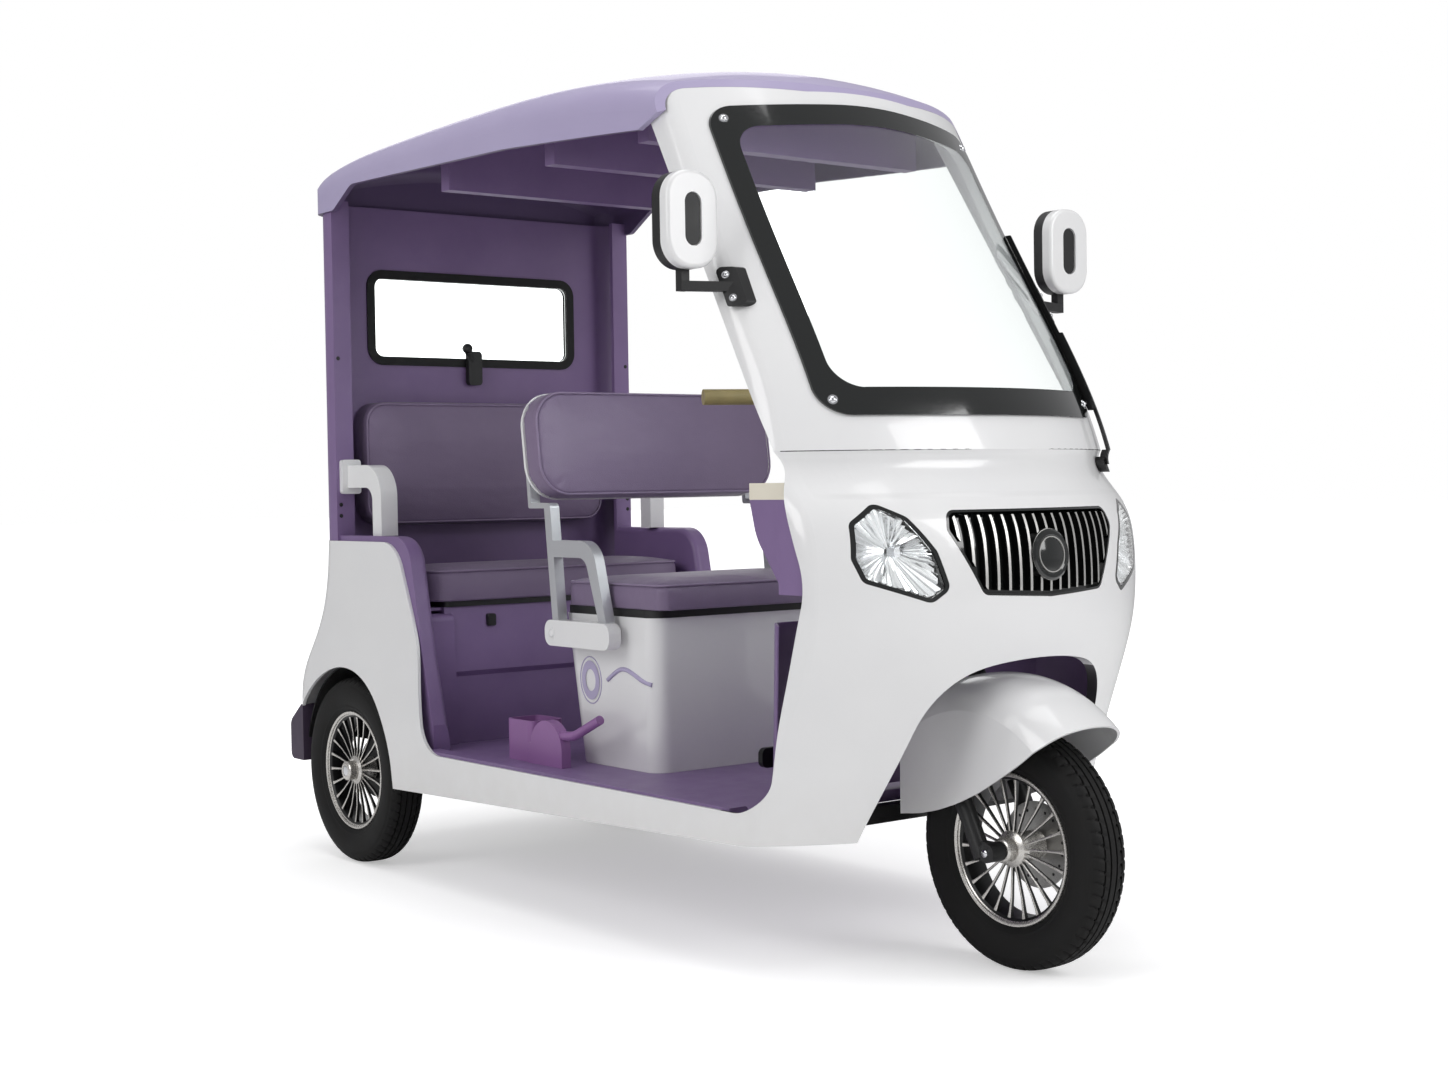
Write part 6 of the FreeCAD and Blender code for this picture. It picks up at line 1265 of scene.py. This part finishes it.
@dataclass
class Headlamp:
    """A fluted reflector and its bulb behind a clear lens."""

    side: Side
    spot: Pair = (0.318, 0.862)
    rays: int = 80
    rings: int = 14
    depth: float = 0.044
    flute: float = 0.0045
    behind: float = 0.006
    margin: float = 0.985
    least_share: float = 0.06
    near_ray: Pair = (0.006, 0.04)
    bulb_depth: float = 0.046
    bulb_step: float = 0.004
    bulb_radius: float = 0.011

    def outline(self) -> list[Pair]:
        """The lens's outline in the front view, evenly divided into rays from its spot."""
        lens = bpy.data.objects["headlamp_lenses"].data
        places = [(v.co.y, v.co.z) for v in lens.vertices if v.co.y * self.side.value > 0]
        cy, cz = self.side.value * self.spot[0], self.spot[1]
        found = []
        for u, v in circle(self.rays):
            reach = 0.0
            for y, z in places:
                along = (y - cy) * u + (z - cz) * v
                across = abs((y - cy) * v - (z - cz) * u)
                if along > reach and across < self.near_ray[0] + along * self.near_ray[1]:
                    reach = along
            found.append((cy + u * reach * self.margin, cz + v * reach * self.margin))
        return found

    def reflector(self, lens: Skin) -> None:
        """A bowl behind the lens, with radial flutes that catch the light."""
        outline = self.outline()
        cy, cz = self.side.value * self.spot[0], self.spot[1]
        points = []
        for ring in range(self.rings + 1):
            share = ring / self.rings
            size = max(share, self.least_share)
            for i, (y, z) in enumerate(outline):
                spot = (cy + (y - cy) * size, cz + (z - cz) * size)
                front = lens.meet((BEYOND_NOSE, *spot), (-1, 0, 0))
                front = front or lens.tree.find_nearest(Vector((1.0, *spot)))[0]
                flute = self.flute * share * (1 if i % 2 else -1)
                deep = self.depth * (1 - share**1.6) + self.behind
                points.append((front.x - deep + flute, *spot))
        faces = grid(self.rings + 1, len(outline)) + [tuple(range(len(outline)))]
        piece = sharpen(mesh_object(f"headlamp_reflector_{self.side.word}", points, faces), 12)
        shade(piece, smooth=False)
        deliver(piece, [REFLECTOR])

    def bulb(self, lens: Skin) -> None:
        """The bright bulb in the middle of the bowl."""
        base = lens.backward(BEYOND_NOSE, self.side.value * self.spot[0], self.spot[1])[0]
        path = [Vector((base.x - self.bulb_depth + self.bulb_step * i, base.y, base.z)) for i in range(6)]
        deliver(tube(f"headlamp_bulb_{self.side.word}", path, self.bulb_radius), [CHROME])

    def build(self) -> None:
        """Makes the lamp's inside."""
        lens = Skin("headlamp_lenses")
        self.reflector(lens)
        self.bulb(lens)


@dataclass
class Screen:
    """The windscreen's chrome screws, and the mirrors' inserts and bolts."""

    corners: tuple[Pair, ...] = ((0.366, 1.163), (0.352, 1.772))
    mirror_bolts: tuple[Pair, ...] = ((0.684, 1.424), (0.712, 1.375))
    insert_place: Point = (0.6882, 0.550, 1.530)
    insert_half_width: float = 0.0195
    insert_half_height: float = 0.0525
    insert_corner: float = 0.0194
    insert_thickness: float = 0.0036
    screw: Pair = (0.0105, 0.006)
    bolt: Pair = (0.0085, 0.005)

    def insert(self, side: Side) -> None:
        """The black oval insert in the front of a mirror's shell."""
        width, height = self.insert_half_width, self.insert_half_height
        x, across, up = self.insert_place
        loop = rounded_loop(-width, width, -height, height, self.insert_corner)
        outline = [(x, side.value * across + y, up + z) for y, z in loop]
        plate = extruded(f"mirror_insert_{side.word}", outline, (self.insert_thickness, 0, 0))
        deliver(plate, [BLACK_PLASTIC])

    def build(self) -> None:
        """Places the screws on the border and the mirror fittings."""
        border = Skin("windshield_border")
        spots = [border.backward(BEYOND_NOSE, side.value * y, z) for y, z in self.corners for side in Side]
        Repeats.screws("windscreen_screws", spots, self.screw, CHROME)
        arms = Skin("mirror_arms")
        bolts = []
        for side in Side:
            bolts += [arms.inward(x, z, side) for x, z in self.mirror_bolts]
            self.insert(side)
        Repeats.screws("mirror_base_bolts", bolts, self.bolt, CHROME)


@dataclass
class Cabin:
    """Small fittings of the cabin: wall plugs, window knob, seat-box ring and stripe, bracket bolts."""

    plug_heights: Point = (1.353, 0.959, 0.929)
    plug_y: float = 0.472
    plug: Pair = (0.0055, 0.002)
    boss_place: Pair = (REAR_X + 0.798, 0.648)
    boss: Pair = (0.0145, 0.005)
    ring_place: Pair = (REAR_X + 0.873, 0.536)
    band_half: Pair = (0.037, 0.047)
    band_shares: Pair = (1.0, 0.56)
    band_lift: float = 0.0014
    ring_half: Pair = (0.044, 0.056)
    ring_steps: int = 64
    ring_wire: float = 0.0016
    stripe_radius: float = 0.0055
    box_start: float = 0.6
    sweep: tuple[Pair, ...] = (
        (0.945, 0.541), (0.985, 0.567), (1.02, 0.572), (1.055, 0.560), (1.09, 0.545), (1.115, 0.540),
    )
    knob_place: Pair = (-0.04, 1.395)
    stem_foot: Pair = (-0.015, 1.36)
    stem_radius: float = 0.008
    knob_out: float = 0.004

    def screws(self) -> None:
        """Dark plugs in the rear wall's flanges, and round heads on the seat brackets."""
        wall = Skin("rear_wall")
        spots = [wall.backward(0.4, side.value * self.plug_y, z) for side in Side for z in self.plug_heights]
        Repeats.screws("wall_plugs", spots, self.plug, BLACK_PLASTIC)
        plates = Skin("seat_brackets")
        bosses = [plates.inward(*self.boss_place, side) for side in Side]
        Repeats.screws("bracket_bosses", bosses, self.boss, WHITE)

    def oval(self, box: Skin, side: Side, half: Pair) -> list[Vector]:
        """An upright oval on the side of the seat box."""
        x, z = self.ring_place
        spots = [(x + half[0] * u, z + half[1] * v) for u, v in circle(self.ring_steps)]
        return [self.on_box(box, *spot, side) for spot in spots]

    def on_box(self, box: Skin, x: float, z: float, side: Side) -> Vector:
        """A place on the side of the seat box."""
        return box.inward(x, z, side, self.box_start)[0]

    def box_trim(self) -> None:
        """The lilac ring and the swept stripe on each side of the seat box."""
        box = Skin("seat_box")
        for side in Side:
            band = []
            for share in self.band_shares:
                band += self.oval(box, side, (self.band_half[0] * share, self.band_half[1] * share))
            raised = [place + Vector((0, side.value * self.band_lift, 0)) for place in band]
            flat = mesh_object(f"box_band_{side.word}", raised, grid(2, self.ring_steps))
            deliver(flat, [LILAC_TRIM])
            loop = self.oval(box, side, self.ring_half)
            deliver(tube(f"box_ring_{side.word}", loop, self.ring_wire, closed=True), [LILAC_TRIM])
            path = [self.on_box(box, REAR_X + x, z, side) for x, z in self.sweep]
            deliver(tube(f"box_stripe_{side.word}", path, self.stripe_radius, soft=True), [LILAC_TRIM])

    def window_knob(self) -> None:
        """The rear window's knob above its latch."""
        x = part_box("rear_window_latch")[1].x
        y, z = self.knob_place
        profile = [(AXIS, 14.0), (9.0, 13.0), (13.5, 9.0), (14.5, 3.0), (12.0, -6.0), (AXIS, -6.0)]
        knob = lathe("window_knob", profile, CENTRE, 32)
        front = Matrix.Rotation(math.radians(-90), 4, "Z")
        knob.data.transform(Matrix.Translation((x + self.knob_out, y, z)) @ front)
        stem_x = x - self.knob_out
        stem = tube("window_knob_stem", [(stem_x, y, z), (stem_x, *self.stem_foot)], self.stem_radius)
        deliver(joined("window_knob", [knob, stem]), [BLACK_PLASTIC])

    def build(self) -> None:
        """Makes all the cabin's fittings."""
        self.screws()
        self.box_trim()
        self.window_knob()


@dataclass
class Nose:
    """The blank round badge on the grille, and a black tube that paints the shadow line of the seam between
    the nose and the screen frame.
    """

    height: float = 0.849
    seam_height: float = 1.062
    seam_centre: float = 0.75
    seam_half_turn: int = 120
    seam_drop: float = 0.002
    seam_radius: float = 0.0011
    least_reach: float = 0.3

    def badge(self) -> None:
        """The blank badge with its two rings, square to the grille's bars."""
        front, facing = Skin("grille_bars").backward(BEYOND_NOSE, 0.0, self.height)
        turned = Matrix.Translation(front) @ Vector((0, 1, 0)).rotation_difference(facing).to_matrix().to_4x4()
        profile = [
            (AXIS, 1.2), (33.0, 1.2), (34.5, 0.6), (34.5, 2.6), (36.6, 2.6), (36.6, 0.6), (40.0, 2.6),
            (47.0, 2.0), (51.5, -1.0), (51.5, -5.0), (AXIS, -5.0),
        ]
        disc = lathe("blank_badge", profile, CENTRE, 96, [0, 0, 1, 1, 1, 0, 0, 0, 0, 0, 0])
        disc.data.transform(turned)
        deliver(sharpen(disc, 25), [BLACK_GLOSS, SATIN])

    def seam(self) -> None:
        """The seam's shadow line, laid along the shells' outside."""
        shell = Skin("front_fascia")
        path = []
        for degrees in range(-self.seam_half_turn, self.seam_half_turn + 1):
            turn = math.radians(degrees)
            way = Vector((math.cos(turn), math.sin(turn), 0))
            start = Vector((self.seam_centre, 0, self.seam_height - self.seam_drop)) + way * 2
            place = shell.meet(start, -way)
            if place and (place - Vector((self.seam_centre, 0, place.z))).length > self.least_reach:
                path.append(Vector((place.x, place.y, self.seam_height)))
        # The black tube is painted shadow along the seam's gap.
        deliver(tube("nose_seam", path, self.seam_radius), [SEAL_AND_SEAM_SHADOW])

    def build(self) -> None:
        """Makes the badge and the seam."""
        self.badge()
        self.seam()


@dataclass
class ToeBoard:
    """The purple toeboard between the floor and the nose, with a cover over the steering column.

    The plan gives X and half the width. Each level gives a height, and how far forward the wings and the cover
    lie from the plan.
    """

    plan: tuple[Pair, ...] = (
        (0.815, 0.456), (0.730, 0.392), (0.722, 0.380), (0.722, 0.170), (0.715, 0.152), (0.690, 0.140),
        (0.690, 0.0),
    )
    levels: tuple[Point, ...] = (
        (0.3445, 0.0, 0.0), (0.50, 0.006, 0.0), (0.58, 0.009, -0.008), (0.69, 0.013, -0.034),
        (0.715, 0.014, -0.040),
    )
    wall: float = 0.006
    cover_half: float = 0.145
    gap: float = 0.014
    soft_edge: float = 0.002

    def row(self, shell: Skin, level: Point) -> list[Point]:
        """One level's points from the left to the right, kept inside the shell."""
        z, wing, cover = level
        half = []
        for plan_x, y in self.plan:
            x = plan_x + (cover if y < self.cover_half else wing)
            room = shell.meet((x, 0.2, z), (0, 1, 0))
            half.append((x, min(y, room.y - self.gap) if room else y, z))
        return [(x, -y, z) for x, y, z in half] + half[-2::-1]

    def build(self) -> None:
        """A moulded board, lofted over its levels, inside the shell."""
        shell = Skin("front_fascia")
        rows = [self.row(shell, level) for level in self.levels]
        points = [place for row in rows for place in row]
        board = mesh_object("toe_board", points, grid(len(rows), len(rows[0]), round_points=False))
        thick = board.modifiers.new("wall", "SOLIDIFY")
        thick.thickness, thick.offset = self.wall, 0.0
        edge = board.modifiers.new("edge", "BEVEL")
        edge.width, edge.segments = self.soft_edge, 2
        deliver(settle(board), [PURPLE])


@dataclass
class Underside:
    """The hand-brake linkage under the sill, the floor's heel strip and the rear seat's catch."""

    linkage_y: float = 0.34
    lever_end: Pair = (-0.615, 0.27)
    heel_x: Pair = (-0.64, -0.6048)
    heel_z: Pair = (0.318, 0.3352)
    heel_half: float = 0.396
    catch: Pair = (-0.23, 0.652)
    catch_half: Pair = (0.012, 0.016)
    catch_depths: Pair = (0.001, 0.012)

    def linkage(self, side: Side) -> None:
        """The rods and the clevis of one side."""
        y, sign = side.value * self.linkage_y, side.value
        x, z = self.lever_end
        hook_y = y + 0.012 * sign
        rods = [
            tube("lever", [(-0.60, y, 0.316), (x, y, z)], 0.006),
            tube("pin", [(x, y - 0.03 * sign, z), (x, y + 0.035 * sign, z)], 0.008),
            tube("pull_rod", [(x, y, z), (-0.70, y, 0.262)], 0.0045),
            tube("hook", [(-0.645, hook_y, 0.31), (-0.64, hook_y, 0.262)], 0.005),
        ]
        deliver(joined(f"brake_linkage_{side.word}", rods), [DARK_STEEL])

    def build(self) -> None:
        """Rods, strip and catch."""
        for side in Side:
            self.linkage(side)
        (x0, x1), (z0, z1) = self.heel_x, self.heel_z
        outline = [(x, -self.heel_half, z) for x, z in ((x0, z0), (x1, z0), (x1, z1), (x0, z1))]
        deliver(extruded("floor_heel_strip", outline, (0, 2 * self.heel_half, 0)), [PURPLE])
        place = Skin("rear_bench").backward(0.3, *self.catch)[0]
        (width, height), (sunk, depth) = self.catch_half, self.catch_depths
        loop = rounded_loop(-width, width, -height, height, 0.005, 4)
        outline = [(place.x - sunk, place.y + y, place.z + z) for y, z in loop]
        deliver(extruded("rear_seat_catch", outline, (depth, 0, 0)), [BLACK_PLASTIC])


def dress_nodes() -> None:
    """Gives every CAD node its finish."""
    for finish, nodes in NODE_FINISHES.items():
        for node in nodes:
            data = bpy.data.objects[node].data
            data.materials.clear()
            data.materials.append(finish.make())


def main() -> None:
    """Builds the rickshaw's looks in order."""
    logging.basicConfig(level=logging.INFO, format="%(name)s %(relativeCreated)d ms: %(message)s")
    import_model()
    Studio().build()
    dress_nodes()
    makers = [
        Wheel("front", "front_wheel", (FRONT_X, 0.0, AXLE_Z), 0),
        Wheel("rear_right", "rear_wheel_right", (REAR_X, -HALF_TRACK, AXLE_Z), -1),
        Wheel("rear_left", "rear_wheel_left", (REAR_X, HALF_TRACK, AXLE_Z), 1),
        Headlamp(Side.RIGHT),
        Headlamp(Side.LEFT),
        Nose(),
        Screen(),
        Cabin(),
        ToeBoard(),
        Underside(),
        Upholstery(),
    ]
    for maker in makers:
        maker.build()


if __name__ == "__main__":
    main()
